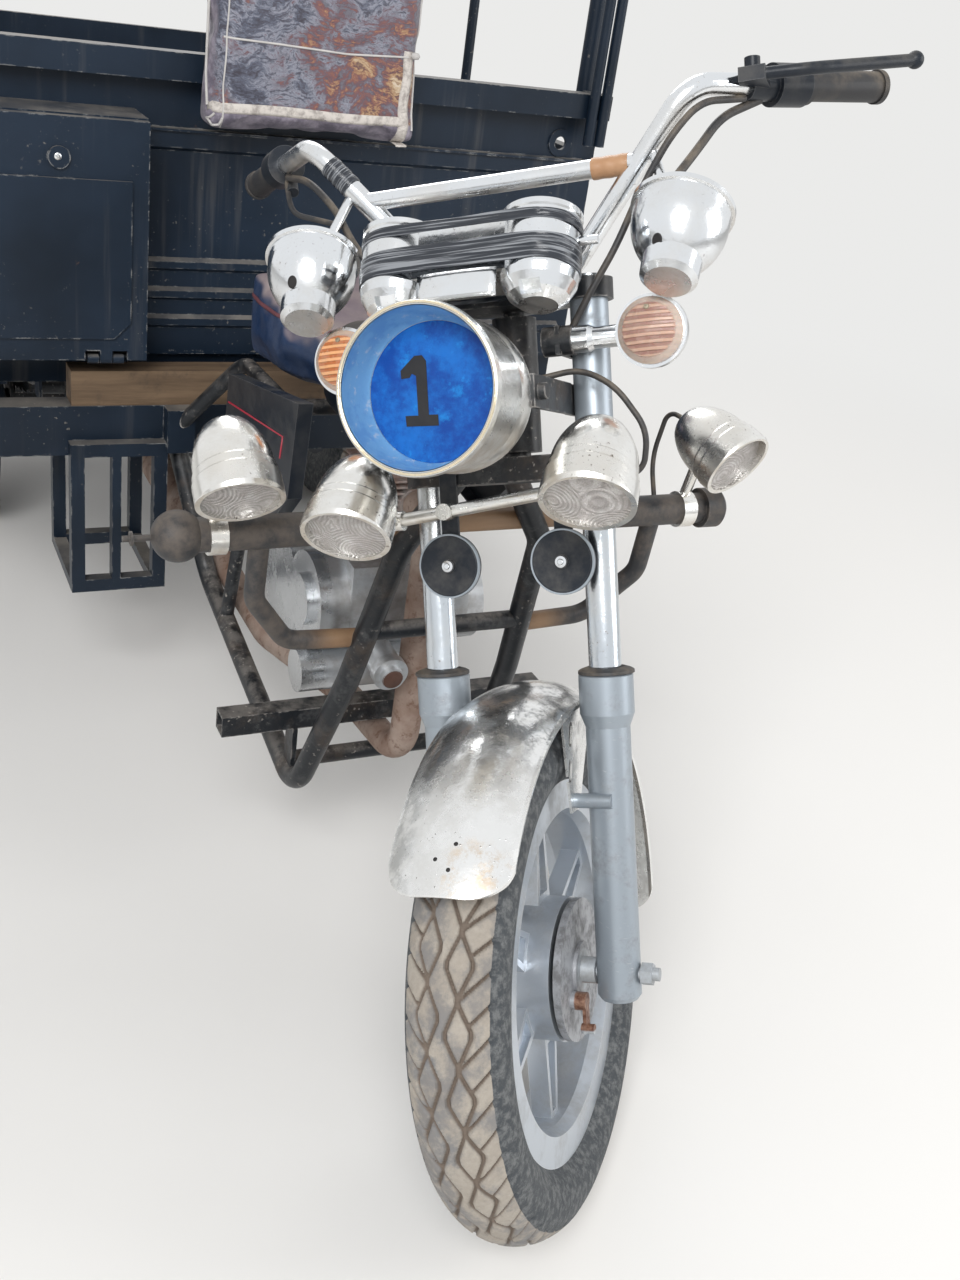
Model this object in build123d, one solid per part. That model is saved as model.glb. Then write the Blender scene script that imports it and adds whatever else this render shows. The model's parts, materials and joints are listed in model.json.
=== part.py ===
from build123d import *
import math
import os

os.makedirs("parts", exist_ok=True)

# Cargo motor tricycle: one steered wheel in front, a pressed-steel bed over a driven rear axle.
# The ground is z = 0, the front faces -Y and the vehicle's left side is +X.
# Millimetres and degrees. Distances named "back" are measured behind the front axle.

# Layout
front_axle_y = -1421.0
wheelbase = 2260.0
rake = 25.0
fork_offset = 35.0
steer_lock = 46.0
leg_half_gap = 105.0

# Front wheel
front_radius = 322.0
front_crown = 64.0
front_tyre_half = 57.0
front_flange_radius = 234.0
front_rim_half = 40.0
front_spokes = 6
drum_radius = 84.0
axle_radius = 8.0
turn_gap = 0.3

# Rear wheels
rear_radius = 284.0
rear_tyre_half = 67.0
rear_flange_radius = 166.0
rear_rim_half = 52.0
rear_track_half = 480.0
hub_flange_radius = 70.0

# Fork, from the front axle up along the legs
stanchion_radius = 19.5
slider_radius = 27.0
collar_radius = 33.0
slider_top = 371.0
lower_clamp_at = 602.0
lower_clamp_thick = 30.0
cover_radius = 22.5
upper_clamp_at = 808.0
upper_clamp_thick = 24.0
stem_radius = 13.0
head_gap = 7.0
head_radius = 27.0

# Handlebar, in the fork's own frame: x out, y back, z up the legs
bar_radius = 12.5
riser_high = 14.0
bar_root = (78.0, 20.0)
bar_rise = upper_clamp_at + upper_clamp_thick + riser_high
bar_elbow = (235.0, -15.0, bar_rise + 182.0)
bar_end = (424.0, 188.0, bar_rise + 204.0)
grip_radius = 17.5
grip_length = 118.0
crossbar_radius = 11.0
crossbar_at = 0.6

# Headlight, along the direction square to the fork legs
lamp_up = 694.0
lamp_rim_at = 287.0
lamp_rim_radius = 88.0
lamp_plate_at = 236.0
lamp_plate_radius = 73.0
lamp_back_at = 96.0

# Signals, gauges and speaker pods on the fork
signal_up = 759.0
signal_out = 84.0
signal_front = -11.0
signal_stem_at = -40.0
signal_root = 8.0
signal_radius = 41.0
gauge_half = 84.0
gauge_radius = 43.5
gauge_at = (-112.0, bar_rise)
gauge_lean = 18.0
pod_at = (226.0, -52.0, bar_rise + 24.0)

# Horns on straps of the lower clamp
horn_half = 71.0
horn_up = lower_clamp_at - 96.0
horn_strap_front = -35.0

# Light bar across the fork and the shape of the bullet lamps
light_bar_radius = 8.0
light_bar_half = 146.0
light_bar_at = (-44.0, 580.0)
light_bar_slope = 18.0
bullet_radius = 52.0
bullet_long = 74.0
hood_long = 46.0
bezel_long = 30.0

# Bed
bed_front_back = 1320.0
bed_length = 1726.0
bed_width = 1260.0
bed_floor_low = 684.0
floor_thick = 6.0
sheet = 3.0
side_wall_high = 1090.0
front_wall_high = 1200.0
rail_box = 40.0
rack_high = 1620.0
tailgate_thick = 24.0
tailgate_gap = 6.0

# Frame tubes
backbone_radius = 21.0
down_tube_radius = 17.0
tank_slot_half = 26.0
cradle_half = 155.0
rail_half = 200.0
rail_width = 50.0
rail_low = 542.0
rail_high = 622.0
rail_start_back = 1185.0
rail_ties_back = (1420.0, 1960.0, 2460.0, bed_front_back + bed_length - 80.0)
cross_low = 532.0

# Crash bar
crash_back = 409.0
crash_up = 741.0
crash_half = 395.0
crash_core_radius = 15.5
crash_sleeve_radius = 22.0
crash_ball_radius = 32.5

# Hinges of the tailgate and the locker's door
hinge_barrel = 8.0
hinge_pin = 4.0

# Locker on the bed's front wall
locker_out = bed_width / 2 - 10.0
locker_in = locker_out - 358.0
locker_face_back = 1185.0
locker_low = 712.0
locker_high = 1104.0
door_thick = 18.0
door_gap = 5.0


def back(distance):
    return front_axle_y + distance


# The steered wheel leans as it turns, so the axle height keeps its lowest point on the ground
lean = math.asin(math.sin(math.radians(steer_lock)) * math.sin(math.radians(rake)))
swing_drop = fork_offset * (1 - math.cos(math.radians(steer_lock))) * math.sin(math.radians(rake))
front_axle_z = (front_radius - front_crown) * math.cos(lean) + front_crown + swing_drop

fork_frame = (
    Location((0, front_axle_y, front_axle_z), (-rake, 0, 0))
    * Location((0, fork_offset, 0), (0, 0, -steer_lock))
    * Location((0, -fork_offset, 0))
)


def head_point(up, out=0.0, behind=0.0):
    # A point on the steering axis or behind it, in the frame of the straight fork
    place = Location((0, front_axle_y, front_axle_z), (-rake, 0, 0))
    return (place * Location((out, fork_offset + behind, up))).position


def rod(points, radius, bend=0.0):
    # A round bar through the points, with arcs at its corners
    if len(points) == 2:
        path = Line(*points)
    else:
        path = FilletPolyline(*points, radius=bend)
    return sweep(Plane(origin=path @ 0, z_dir=path % 0) * Circle(radius), path=path)


def cable(points, radius):
    # A cable through the points, with bends as wide as its runs allow
    bends = []
    for before, corner, after in zip(points, points[1:], points[2:]):
        first = Vector(*corner) - Vector(*before)
        second = Vector(*after) - Vector(*corner)
        half_turn = math.radians(first.get_angle(second)) / 2
        bends.append(0.45 * min(first.length, second.length) / math.tan(half_turn))
    return rod(points, radius, bends)


def disc(centre, axis, radius, low, high):
    # A round plate along an axis, from one distance to another
    plane = Plane(origin=centre, z_dir=axis)
    return extrude(plane.offset(low) * Circle(radius), high - low)


def block(low, high):
    size = [b - a for a, b in zip(low, high)]
    middle = [(a + b) / 2 for a, b in zip(low, high)]
    return Pos(*middle) * Box(*size)


def dome(radius, rim, pole):
    # A cap's arc from its rim to its pole on the axis, as part of a true sphere
    rise = pole - rim
    ball = (radius ** 2 + rise ** 2) / (2 * abs(rise))
    centre = pole - math.copysign(ball, rise)
    angle = math.atan2(rim - centre, radius)
    half = (angle + math.copysign(math.pi / 2, rise)) / 2
    return ThreePointArc(
        (radius, rim), (ball * math.cos(half), centre + ball * math.sin(half)), (0, pole))


def hinge(x, y, z):
    # Two fixed barrels on a pin, the moving barrel between them and the space each side needs
    centre = (x, y, z)
    fixed = disc(centre, (1, 0, 0), hinge_barrel, 12, 30)
    fixed += disc(centre, (1, 0, 0), hinge_barrel, -30, -12)
    fixed += disc(centre, (1, 0, 0), hinge_pin, -12, 12)
    moving = disc(centre, (1, 0, 0), hinge_barrel, -10, 10)
    moving -= disc(centre, (1, 0, 0), hinge_pin + turn_gap, -11, 11)
    notch = disc(centre, (1, 0, 0), hinge_barrel + 11, -35, 35)
    seat = disc(centre, (1, 0, 0), hinge_barrel + 5, -12, 12)
    return fixed, moving, notch, seat


def turned(points, axis=Axis.X):
    # A revolved form about X from (x, radius) points
    face = Plane.XZ * make_face(Polyline(*points, close=True))
    return revolve(face, axis)


def both_sides(shape):
    return [shape, mirror(shape, Plane.YZ)]


def solids_of(shapes):
    found = []
    for shape in shapes:
        found.extend(shape.solids())
    return found


def save(name, shape):
    if isinstance(shape, list):
        shape = Compound(children=solids_of(shape))
    export_step(shape, f"parts/{name}.step")


# Front wheel, about its own centre with the axle along X


def front_tyre():
    shoulder = front_radius - front_crown + front_crown * math.cos(math.radians(48))
    shoulder_x = front_crown * math.sin(math.radians(48))
    wall_radius = (shoulder + front_flange_radius) / 2
    crown = ThreePointArc((-shoulder_x, shoulder), (0, front_radius), (shoulder_x, shoulder))
    wall = ThreePointArc(
        (shoulder_x, shoulder), (front_tyre_half, wall_radius), (front_rim_half, front_flange_radius)
    )
    seat = Line((front_rim_half, front_flange_radius), (-front_rim_half, front_flange_radius))
    other = ThreePointArc(
        (-front_rim_half, front_flange_radius), (-front_tyre_half, wall_radius), (-shoulder_x, shoulder)
    )
    return revolve(Plane.XZ * make_face(crown + wall + seat + other), Axis.X)


def front_rim():
    well = front_flange_radius - 26
    inner = well - 16
    rim = turned([
        (-front_rim_half, front_flange_radius), (-front_rim_half, inner + 6), (-24, inner),
        (24, inner), (front_rim_half, inner + 6), (front_rim_half, front_flange_radius),
        (front_rim_half - 7, front_flange_radius), (front_rim_half - 14, well),
        (14 - front_rim_half, well), (7 - front_rim_half, front_flange_radius),
    ])
    hub = turned([
        (-55, 0), (-55, 30), (-42, 38), (-30, 62), (-14, drum_radius + 4), (42, drum_radius + 4),
        (42, drum_radius - 4), (34, drum_radius - 10), (34, 0),
    ])
    wheel = rim + hub
    for index in range(front_spokes):
        angle = index * 360 / front_spokes
        root, tip = drum_radius - 6, inner + 4
        outline = make_face(Polyline((-24, root), (-13, tip), (13, tip), (24, root), close=True))
        spoke = extrude(Plane.YZ * outline, 13, both=True)
        low, high = root + 16, tip - 10
        slot = make_face(Polyline((-15, low), (-7, high), (7, high), (15, low), close=True))
        spoke -= extrude(Plane.YZ.offset(4) * slot, 20)
        spoke -= extrude(Plane.YZ.offset(-4) * slot, -20)
        wheel += Rot(angle, 0, 0) * spoke
    wheel -= disc((0, 0, 0), (1, 0, 0), axle_radius + turn_gap, -80, 80)
    return wheel


def front_axle():
    # Spindle, fixed drum plate with its brake cam arm, spacers and end nuts
    nut_face = leg_half_gap + slider_radius + 2
    axle = disc((0, 0, 0), (1, 0, 0), axle_radius, -nut_face - 22, nut_face + 22)
    inner_face = leg_half_gap - slider_radius
    axle += disc((0, 0, 0), (1, 0, 0), 16, 60, inner_face)
    axle += disc((0, 0, 0), (1, 0, 0), 15, -inner_face, -60)
    axle += disc((0, 0, 0), (1, 0, 0), drum_radius + 3, 47, 56)
    axle += disc((0, 0, 0), (1, 0, 0), 34, 56, 60)
    axle += disc((0, -38, -26), (1, 0, 0), 11, 56, 74)
    axle += block((70, -46, -64), (74, -30, -18))
    axle += disc((0, -38, -60), (1, 0, 0), 6, 66, 82)
    for side in (-1, 1):
        nut = extrude(Plane(origin=(side * nut_face, 0, 0), z_dir=(side, 0, 0)) * RegularPolygon(14, 6), 14)
        axle += nut
    return axle


# Fork, in the fork's frame: x out, y back, z up the legs


def fork_sliders():
    sliders = []
    for side in (-1, 1):
        x = side * leg_half_gap
        body = Plane.XZ * make_face(Polyline(
            (0, -32), (slider_radius - 4, -32), (slider_radius, -26), (slider_radius, slider_top - 66),
            (collar_radius, slider_top - 50), (collar_radius, slider_top - 4),
            (collar_radius - 3, slider_top), (0, slider_top), close=True))
        leg = Pos(x, 0, 0) * revolve(body, Axis.Z)
        leg -= disc((0, 0, 0), (1, 0, 0), axle_radius, min(0, x * 2), max(0, x * 2))
        lug_face = side * (leg_half_gap - 42)
        leg += disc((lug_face, -slider_radius + 2, 218), (side, 0, 0), 9, 0, 50)
        sliders.append(leg)
    return sliders


def fork_stanchions():
    top = upper_clamp_at + upper_clamp_thick + 4
    tubes = []
    for side in (-1, 1):
        tubes.append(disc((side * leg_half_gap, 0, 0), (0, 0, 1), stanchion_radius, slider_top, top))
    return tubes


def clamp_plate(low, thick, eye, stem_eye):
    legs = [Pos(side * leg_half_gap, 0) * Circle(eye) for side in (-1, 1)]
    outline = make_hull((legs[0] + legs[1] + Pos(0, fork_offset) * Circle(stem_eye)).edges())
    plate = extrude(Plane.XY.offset(low) * outline, thick)
    for side in (-1, 1):
        plate -= disc((side * leg_half_gap, 0, 0), (0, 0, 1), stanchion_radius, low - 1, low + thick + 1)
    return plate


def leg_strap(side, low, high, reach):
    # A strap that holds a cover tube from its inner side and reaches forward
    x, thick = side * leg_half_gap, 4.5
    strap = disc((x, 0, 0), (0, 0, 1), cover_radius + thick, low, high)
    strap -= block((x - 60, -60, low - 1), (x + 60, 0, high + 1))
    strap -= block((min(x, x + side * 60), -60, low - 1), (max(x, x + side * 60), 60, high + 1))
    near, far = x - side * (cover_radius - 1), x - side * (cover_radius + thick)
    strap += block((min(near, far), -reach, low), (max(near, far), 4, high))
    return strap - disc((x, 0, 0), (0, 0, 1), cover_radius, low - 1, high + 1)


def lamp_ear(side):
    ear = leg_strap(side, lamp_up - 18, lamp_up + 18, 30)
    near, far = side * 80, side * 86
    ear += block((min(near, far), -165, lamp_up - 18), (max(near, far), -24, lamp_up + 18))
    ear += disc((0, -148, lamp_up), (side, 0, 0), 9, 84, 95)
    return ear - headlight_shell()


def fork_clamps():
    clamps = clamp_plate(lower_clamp_at, lower_clamp_thick, 31, 32)
    clamps += clamp_plate(upper_clamp_at, upper_clamp_thick, 29, 30)
    stem_low = lower_clamp_at + 4
    stem_high = upper_clamp_at + upper_clamp_thick + 12
    clamps += disc((0, fork_offset, 0), (0, 0, 1), stem_radius, stem_low, stem_high)
    clamps += extrude(
        Plane(origin=(0, fork_offset, upper_clamp_at + upper_clamp_thick)) * RegularPolygon(21, 6), 10)
    for side in (-1, 1):
        x = side * leg_half_gap
        # Headlight ears and their bolts, then the signals' rubber bases
        clamps += lamp_ear(side)
        clamps += leg_strap(side, signal_up - 16, signal_up + 16, 56)
        clamps += disc((0, signal_stem_at, signal_up), (side, 0, 0), 17, leg_half_gap - 44, leg_half_gap - signal_root)
        # Handlebar risers
        clamps += disc((side * 34, bar_root[1], 0), (0, 0, 1), 14, upper_clamp_at + 10, bar_rise + 2)
        clamps += disc((0, bar_root[1], bar_rise), (side, 0, 0), 21, 22, 46)
    clamps -= disc((0, bar_root[1], bar_rise), (1, 0, 0), bar_radius, -60, 60)
    return clamps


def fork_covers():
    # Cover tubes round the legs between the clamps
    covers = []
    low, high = lower_clamp_at + lower_clamp_thick, upper_clamp_at
    for side in (-1, 1):
        x = side * leg_half_gap
        cover = disc((x, 0, 0), (0, 0, 1), cover_radius, low, high)
        covers.append(cover - disc((x, 0, 0), (0, 0, 1), stanchion_radius, low - 1, high + 1))
    return covers


def light_bar_z(x):
    return light_bar_at[1] + light_bar_slope * x / light_bar_half


def light_bar():
    # A sloping tube in front of the legs, bolted through the horn straps
    y = light_bar_at[0]
    ends = [(side * light_bar_half, y, light_bar_z(side * light_bar_half)) for side in (-1, 1)]
    bar = rod(ends, light_bar_radius)
    for side in (-1, 1):
        x = side * horn_half
        bar += disc((x, horn_strap_front, light_bar_z(x)), (0, -1, 0), light_bar_radius + 2, 0, 20)
    return bar


fender_outer = 358.0
fender_edge = 334.0
fender_half = 68.0
fender_sheet = 2.5
fender_corner = 46.0
fender_front = 60.0
fender_sweep = 155.0
fender_bead = 4.0


def fender_corner_cut():
    # What rounds the two corners of a blade that starts at the top and runs back
    plane = Plane(origin=(0, 0, fender_outer), x_dir=(1, 0, 0), z_dir=(0, 0, 1))
    c, half = fender_corner, fender_half + fender_bead
    corner = Pos(half - c / 2 + 6, c / 2 - 6) * Rectangle(c + 12, c + 12) - Pos(half - c, c) * Circle(c)
    tool = extrude(plane.offset(-70) * corner, 100)
    return tool + mirror(tool, Plane.YZ)


def front_fender():
    outer, edge, half, thick = fender_outer, fender_edge, fender_half, fender_sheet
    bead = fender_bead
    section = make_face(
        ThreePointArc((-half, edge), (0, outer), (half, edge))
        + Polyline((half, edge), (half + bead, edge - 2), (half + 3, edge - 7), (half - thick, edge - 5))
        + ThreePointArc((half - thick, edge - 5), (0, outer - thick), (thick - half, edge - 5))
        + Polyline((thick - half, edge - 5), (-half - 3, edge - 7), (-half - bead, edge - 2), (-half, edge)))
    blade = revolve(Rot(fender_front, 0, 0) * (Plane.XZ * section), Axis.X, -fender_sweep)
    tool = fender_corner_cut()
    blade -= Rot(fender_front, 0, 0) * tool
    blade -= Rot(fender_front - fender_sweep, 0, 0) * mirror(tool, Plane.XZ)
    stays = []
    stay_face = make_face(Polyline((-42, 206), (-66, 328), (60, 328), (-10, 206), close=True))
    for side in (-1, 1):
        low = min(side * (half - 3), side * half)
        plate = extrude(Plane.YZ.offset(low) * stay_face, 3)
        for y, z in ((-34, 300), (-42, 258)):
            slot = Pos(y, z) * Rot(0, 0, 70) * SlotOverall(30, 13)
            plate -= extrude(Plane.YZ.offset(low - 1) * slot, 5)
        stays.append(plate)
    fender = blade
    for stay in stays:
        fender += stay
    return fender


def bar_direction():
    run = Vector(*bar_end) - Vector(*bar_elbow)
    return run.normalized()


def handlebar_path():
    def left(point):
        return (-point[0], point[1], point[2])
    stop = Vector(*bar_end) - bar_direction() * 4
    end = (stop.X, stop.Y, stop.Z)
    root = (bar_root[0], bar_root[1], bar_rise)
    points = [left(end), left(bar_elbow), left(root), root, bar_elbow, end]
    return FilletPolyline(*points, radius=[46, 40, 40, 46])


def handlebar():
    path = handlebar_path()
    bar = sweep(Plane(origin=path @ 0, z_dir=path % 0) * Circle(bar_radius), path=path)
    x = bar_root[0] + (bar_elbow[0] - bar_root[0]) * crossbar_at
    y, z = crossbar_place()
    bar += rod([(-x, y, z), (x, y, z)], crossbar_radius)
    return bar


def crossbar_place():
    y = bar_root[1] + (bar_elbow[1] - bar_root[1]) * crossbar_at
    return y, bar_rise + (bar_elbow[2] - bar_rise) * crossbar_at


def along_bar(side, distance):
    # A point on the grip's run, measured inwards from the bar's end, and its outward direction
    run = bar_direction()
    point = Vector(*bar_end) - run * distance
    return (side * point.X, point.Y, point.Z), (side * run.X, run.Y, run.Z)


def grips():
    shapes = []
    for side in (-1, 1):
        point, run = along_bar(side, 0)
        grip = disc(point, run, grip_radius, -grip_length, 0)
        grip += disc(point, run, grip_radius + 4, -grip_length, -grip_length + 6)
        grip += disc(point, run, grip_radius + 2, -7, 0)
        grip -= disc(point, run, bar_radius, -grip_length - 1, -4)
        shapes.append(grip)
    return shapes


def hand_controls():
    # Left: switch block, lever perch and long clutch lever. Right: throttle block alone
    point, run = along_bar(1, grip_length)
    left = disc(point, run, 24, -46, -2)
    left += disc(point, run, 18, -82, -46)
    perch = Vector(*point) - Vector(*run) * 66
    left += block((perch.X - 14, perch.Y - 46, perch.Z - 8), (perch.X + 16, perch.Y, perch.Z + 8))
    left += disc((perch.X - 4, perch.Y - 2, perch.Z), (0, 0, 1), 9, 8, 30)
    tip = (bar_end[0] + 44, bar_end[1] - 62, bar_end[2] + 6)
    root = (perch.X + 2, perch.Y - 38, perch.Z)
    middle = (perch.X + 62, perch.Y - 34, perch.Z - 2)
    lever = rod([root, middle, tip], 7, 60)
    left += lever + Pos(*tip) * Sphere(10)
    left -= disc(point, run, bar_radius, -90, 4)
    left -= disc((perch.X - 4, perch.Y - 2, perch.Z), (0, 0, 1), 4.25, 18, 32)
    point, run = along_bar(-1, grip_length)
    right = disc(point, run, 25, -40, -2)
    right += disc((point[0] + 20, point[1] - 6, point[2] - 4), (0.3, -0.5, -0.8), 8, 10, 44)
    right -= disc(point, run, bar_radius, -60, 4)
    return [left, right]


# Cables on the fork: radius, then the points from the hand controls down
clutch_cable = (4.0, [
    (287, 38, 1018), (246, -12, 1008), (214, -26, 972), (179, -22, 923), (146, -27, 858),
    (120, -38, 815), (93, -40, 770)])
switch_hose = (5.0, [(301, 59, 1020), (262, 24, 998), (238, 6, 962), (208, -31, 914)])
throttle_sleeve = (4.5, [
    (-314, 70, 1020), (-262, 26, 1000), (-213, 0, 951), (-180, -28, 901), (-146, -29, 856),
    (-120, -38, 815), (-93, -40, 770)])
throttle_elbow = (3.5, [(-320, 76, 1018), (-312, 66, 986), (-288, 34, 962), (-240, 10, 944), (-197, -14, 927)])
lamp_loop = (3.5, [
    (14, -106, 702), (60, -52, 718), (104, -46, 725), (146, -54, 702), (180, -50, 650), (172, -42, 606),
    (141, -44, 597)])


def control_cables():
    carriers = hand_controls() + fork_lamps() + [handlebar(), fork_clamps(), headlight_shell(), light_bar()]
    carriers += speaker_pods() + fork_covers() + signal_bodies()
    throttle = cable(throttle_sleeve[1], throttle_sleeve[0]) + cable(throttle_elbow[1], throttle_elbow[0])
    cables = [throttle]
    for radius, points in (clutch_cable, switch_hose, lamp_loop):
        cables.append(cable(points, radius))
    cut = []
    for piece in cables:
        for carrier in carriers:
            piece = piece - carrier
        cut.append(piece)
    return cut


def headlight_shell():
    rim, floor = lamp_rim_radius, lamp_plate_at - 4
    profile = Polyline(
        (0, lamp_back_at), (0, floor), (lamp_plate_radius, floor), (lamp_plate_radius, lamp_plate_at),
        (rim - 9, lamp_plate_at + 8), (rim - 5, lamp_rim_at), (rim, lamp_rim_at), (rim + 1, lamp_rim_at - 8),
        (rim - 3, lamp_rim_at - 14), (rim - 6, 196))
    shell = revolve(Plane.XY * make_face(profile + dome(rim - 6, 196, lamp_back_at)), Axis.Y)
    return Pos(0, 0, lamp_up) * Rot(180, 0, 0) * shell


def headlight_plate():
    return disc((0, 0, lamp_up), (0, -1, 0), lamp_plate_radius, lamp_plate_at - 4, lamp_plate_at)


def signal_bodies():
    # A bowl on a neck that passes in front of the leg to its rubber base
    shapes = []
    for side in (-1, 1):
        x = side * (leg_half_gap + signal_out)
        r = signal_radius
        bowl = revolve(Plane.XY * make_face(Polyline(
            (0, 0), (18, 0), (r - 9, 10), (r - 3, 24), (r, 32), (r, 42), (0, 42), close=True)), Axis.Y)
        shape = Pos(x, signal_front, signal_up) * Rot(180, 0, 0) * bowl
        long = signal_out + signal_root - 20
        neck = turned([(0, 0), (0, 15.5), (18, 15.5), (24, 12.5), (long, 12.5), (long, 0)])
        if side < 0:
            neck = mirror(neck, Plane.YZ)
        shapes.append(shape + Pos(side * (leg_half_gap - signal_root), signal_stem_at, signal_up) * neck)
    return shapes


def signal_lenses():
    shapes = []
    for side in (-1, 1):
        x = side * (leg_half_gap + signal_out)
        r = signal_radius - 4
        lens = revolve(Plane.XY * make_face(Polyline(
            (0, 42), (r, 42), (r, 46), (r - 7, 54), (16, 59), (0, 61), close=True)), Axis.Y)
        shapes.append(Pos(x, signal_front, signal_up) * Rot(180, 0, 0) * lens)
    return shapes


def gauge_pod():
    # Two cans with tapered bottoms, joined by two bridges, on a bracket of the upper clamp
    r = gauge_radius
    can = revolve(Plane.XZ * make_face(Polyline(
        (0, -62), (22, -62), (34, -53), (r - 2, -40), (r, -31), (r, 34), (r + 1.5, 36), (r + 1.5, 42),
        (r - 3, 42), (r - 4, 36), (0, 36), close=True)), Axis.Z)
    can -= Pos(0, -30, -53) * Rot(45, 0, 0) * Box(24, 12, 16)
    pod = Pos(-gauge_half, 0, 0) * can + Pos(gauge_half, 0, 0) * can
    pod += block((-gauge_half + 20, -32, -30), (gauge_half - 20, 28, -4))
    pod += block((-gauge_half + 20, -28, 9), (gauge_half - 20, 24, 30))
    pod += disc((gauge_half + r - 3, 0, 8), (1, 0, 0), 5, 0, 24)
    pod = Pos(0, gauge_at[0], gauge_at[1]) * Rot(-gauge_lean, 0, 0) * pod
    foot = upper_clamp_at + upper_clamp_thick
    bracket = block((-16, gauge_at[0] + 10, foot), (16, 0, foot + 4))
    return pod + bracket


def speaker_pods():
    # Bowls that open up and back towards the rider, each with a cup below and a bent stalk
    shapes = []
    crossbar_y, crossbar_z = crossbar_place()
    for side in (-1, 1):
        bowl = revolve(Plane.XZ * make_face(
            Polyline((0, 14), (0, -78), (26, -78), (32, -72), (33, -50))
            + ThreePointArc((33, -50), (47, -30), (54, 2))
            + Polyline((54, 2), (55, 14), (58, 15), (58, 21), (50, 21), (46, 14), (0, 14))), Axis.Z)
        x, y, z = side * pod_at[0], pod_at[1], pod_at[2]
        pod = Pos(x, y, z) * Rot(-30, side * 6, 0) * bowl
        root = (side * 186, crossbar_y + 3, crossbar_z + 20)
        shapes.append(pod + rod([root, (side * 204, y + 22, z + 50), (side * 212, y + 6, z + 2)], 6, 20))
    return shapes




def horns():
    shapes = []
    for side in (-1, 1):
        x = side * horn_half
        horn = Pos(x, 0, horn_up) * Rot(180, 0, 0) * revolve(Plane.XY * make_face(Polyline(
            (0, 20), (22, 20), (24, 30), (37, 34), (39, 38), (39, 44), (35, 46), (8, 44), (8, 50), (0, 50),
            close=True)), Axis.Y)
        strap = block(
            (x - 11, horn_strap_front, horn_up + 22), (x + 11, horn_strap_front + 4, lower_clamp_at + 24))
        shapes.append(horn + strap)
    return shapes


def lamp_shell():
    # Egg-shaped body with a seam bead, a bezel band and a hood that is longest at its top
    r, neck = bullet_radius, bullet_radius - 4
    profile = make_face(
        Polyline((0, -bullet_long), (0, bezel_long - 2), (r - 6, bezel_long - 2), (r - 6, hood_long),
                 (r - 3, hood_long), (r, hood_long - 6), (r, 14), (neck + 2, 11), (neck + 2, 2), (neck, -1))
        + ThreePointArc((neck, -1), (neck - 4, -32), (30, -bullet_long + 14))
        + dome(30, 14 - bullet_long, -bullet_long))
    shell = revolve(Plane.XY * profile, Axis.Y)
    slope = math.degrees(math.atan2(hood_long - bezel_long - 2, 2 * r))
    middle = (hood_long + bezel_long) / 2 + 1
    shell -= Pos(0, middle, 0) * Rot(slope, 0, 0) * block((-r - 9, 0, -r - 19), (r + 9, 60, r + 19))
    return Rot(180, 0, 0) * shell


def lamp_lens():
    r = bullet_radius - 6
    profile = make_face(
        Polyline((0, bezel_long + 4), (0, bezel_long - 2), (r, bezel_long - 2), (r, bezel_long - 1))
        + dome(r, bezel_long - 1, bezel_long + 4))
    return Rot(180, 0, 0) * revolve(Plane.XY * profile, Axis.Y)


def aimed(heading, tilt):
    return Location((0, 0, 0), (0, 0, heading)) * Location((0, 0, 0), (tilt, 0, 0))


# Lamps on the light bar: x, y and z of the centre in the fork's frame, and the tilt down
fork_lamp_table = [("right", -139.0, -158.0, 578.0, 49.0), ("left", 146.0, -168.0, 600.0, 49.0)]


def fork_lamps():
    shapes = []
    for name, x, y, z, tilt in fork_lamp_table:
        foot_x = math.copysign(light_bar_half - 10, x)
        foot = (foot_x, light_bar_at[0] - light_bar_radius - 1, light_bar_z(foot_x))
        lamp = Location((x, y, z)) * aimed(0, tilt) * lamp_shell()
        post = rod([foot, (x, y + 36, z + 8)], 7)
        strap = disc((foot_x, light_bar_at[0], light_bar_z(foot_x)), (1, 0, 0), light_bar_radius + 4, -9, 9)
        shapes.append(lamp + post + strap - light_bar())
    return shapes


def fork_lamp_lenses():
    return [Location((x, y, z)) * aimed(0, tilt) * lamp_lens() for name, x, y, z, tilt in fork_lamp_table]


# Main frame and engine, in the vehicle's frame


def backbone_points():
    root = head_point((lower_clamp_at + upper_clamp_at) / 2 + 35)
    return [(0, root.Y, root.Z), (0, back(560), 812), (0, back(860), 742)]


def main_frame():
    low = lower_clamp_at + lower_clamp_thick + head_gap
    high = upper_clamp_at - head_gap
    base, top = head_point(low), head_point(high)
    axis = (top - base).normalized()
    head = extrude(Plane(origin=base, z_dir=axis) * Circle(head_radius), (top - base).length)
    frame = head + rod(backbone_points(), backbone_radius, 120)
    frame += rod([(-tank_slot_half, back(520), 838), (tank_slot_half, back(520), 838)], 9)
    cross = [(-112, back(860), 742), (112, back(860), 742)]
    frame += rod(cross, 13)
    for side in (-1, 1):
        # The down tubes leave the backbone behind the swing of the fork's legs
        points = [
            head_point(692, side * 6, 40), head_point(640, side * 25, 88), (side * 105, back(395), 711),
            (side * 128, back(470), 470), (side * cradle_half, back(575), 215),
            (side * cradle_half, back(1130), 318), (side * rail_half, back(1240), 560)]
        frame += rod(points, down_tube_radius, [25, 60, 60, 60, 70])
        seat_tube = [
            (side * 112, back(860), 742), (side * 112, back(1110), 735), (side * rail_half, back(1200), 590)]
        frame += rod(seat_tube, 13, 50)
        frame += rod([(side * 112, back(980), 740), (side * cradle_half, back(1000), 300)], 12)
    frame += rod([(-cradle_half, back(640), 227), (cradle_half, back(640), 227)], 14)
    frame += rod([(-120, back(440), 565), (120, back(440), 565)], 13)
    frame -= disc(base, axis, stem_radius + turn_gap, -5, (top - base).length + 5)
    # The ladder rails take the tube ends
    frame -= block((-400, back(rail_start_back), cross_low), (400, back(1400), rail_high))
    return frame


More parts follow.
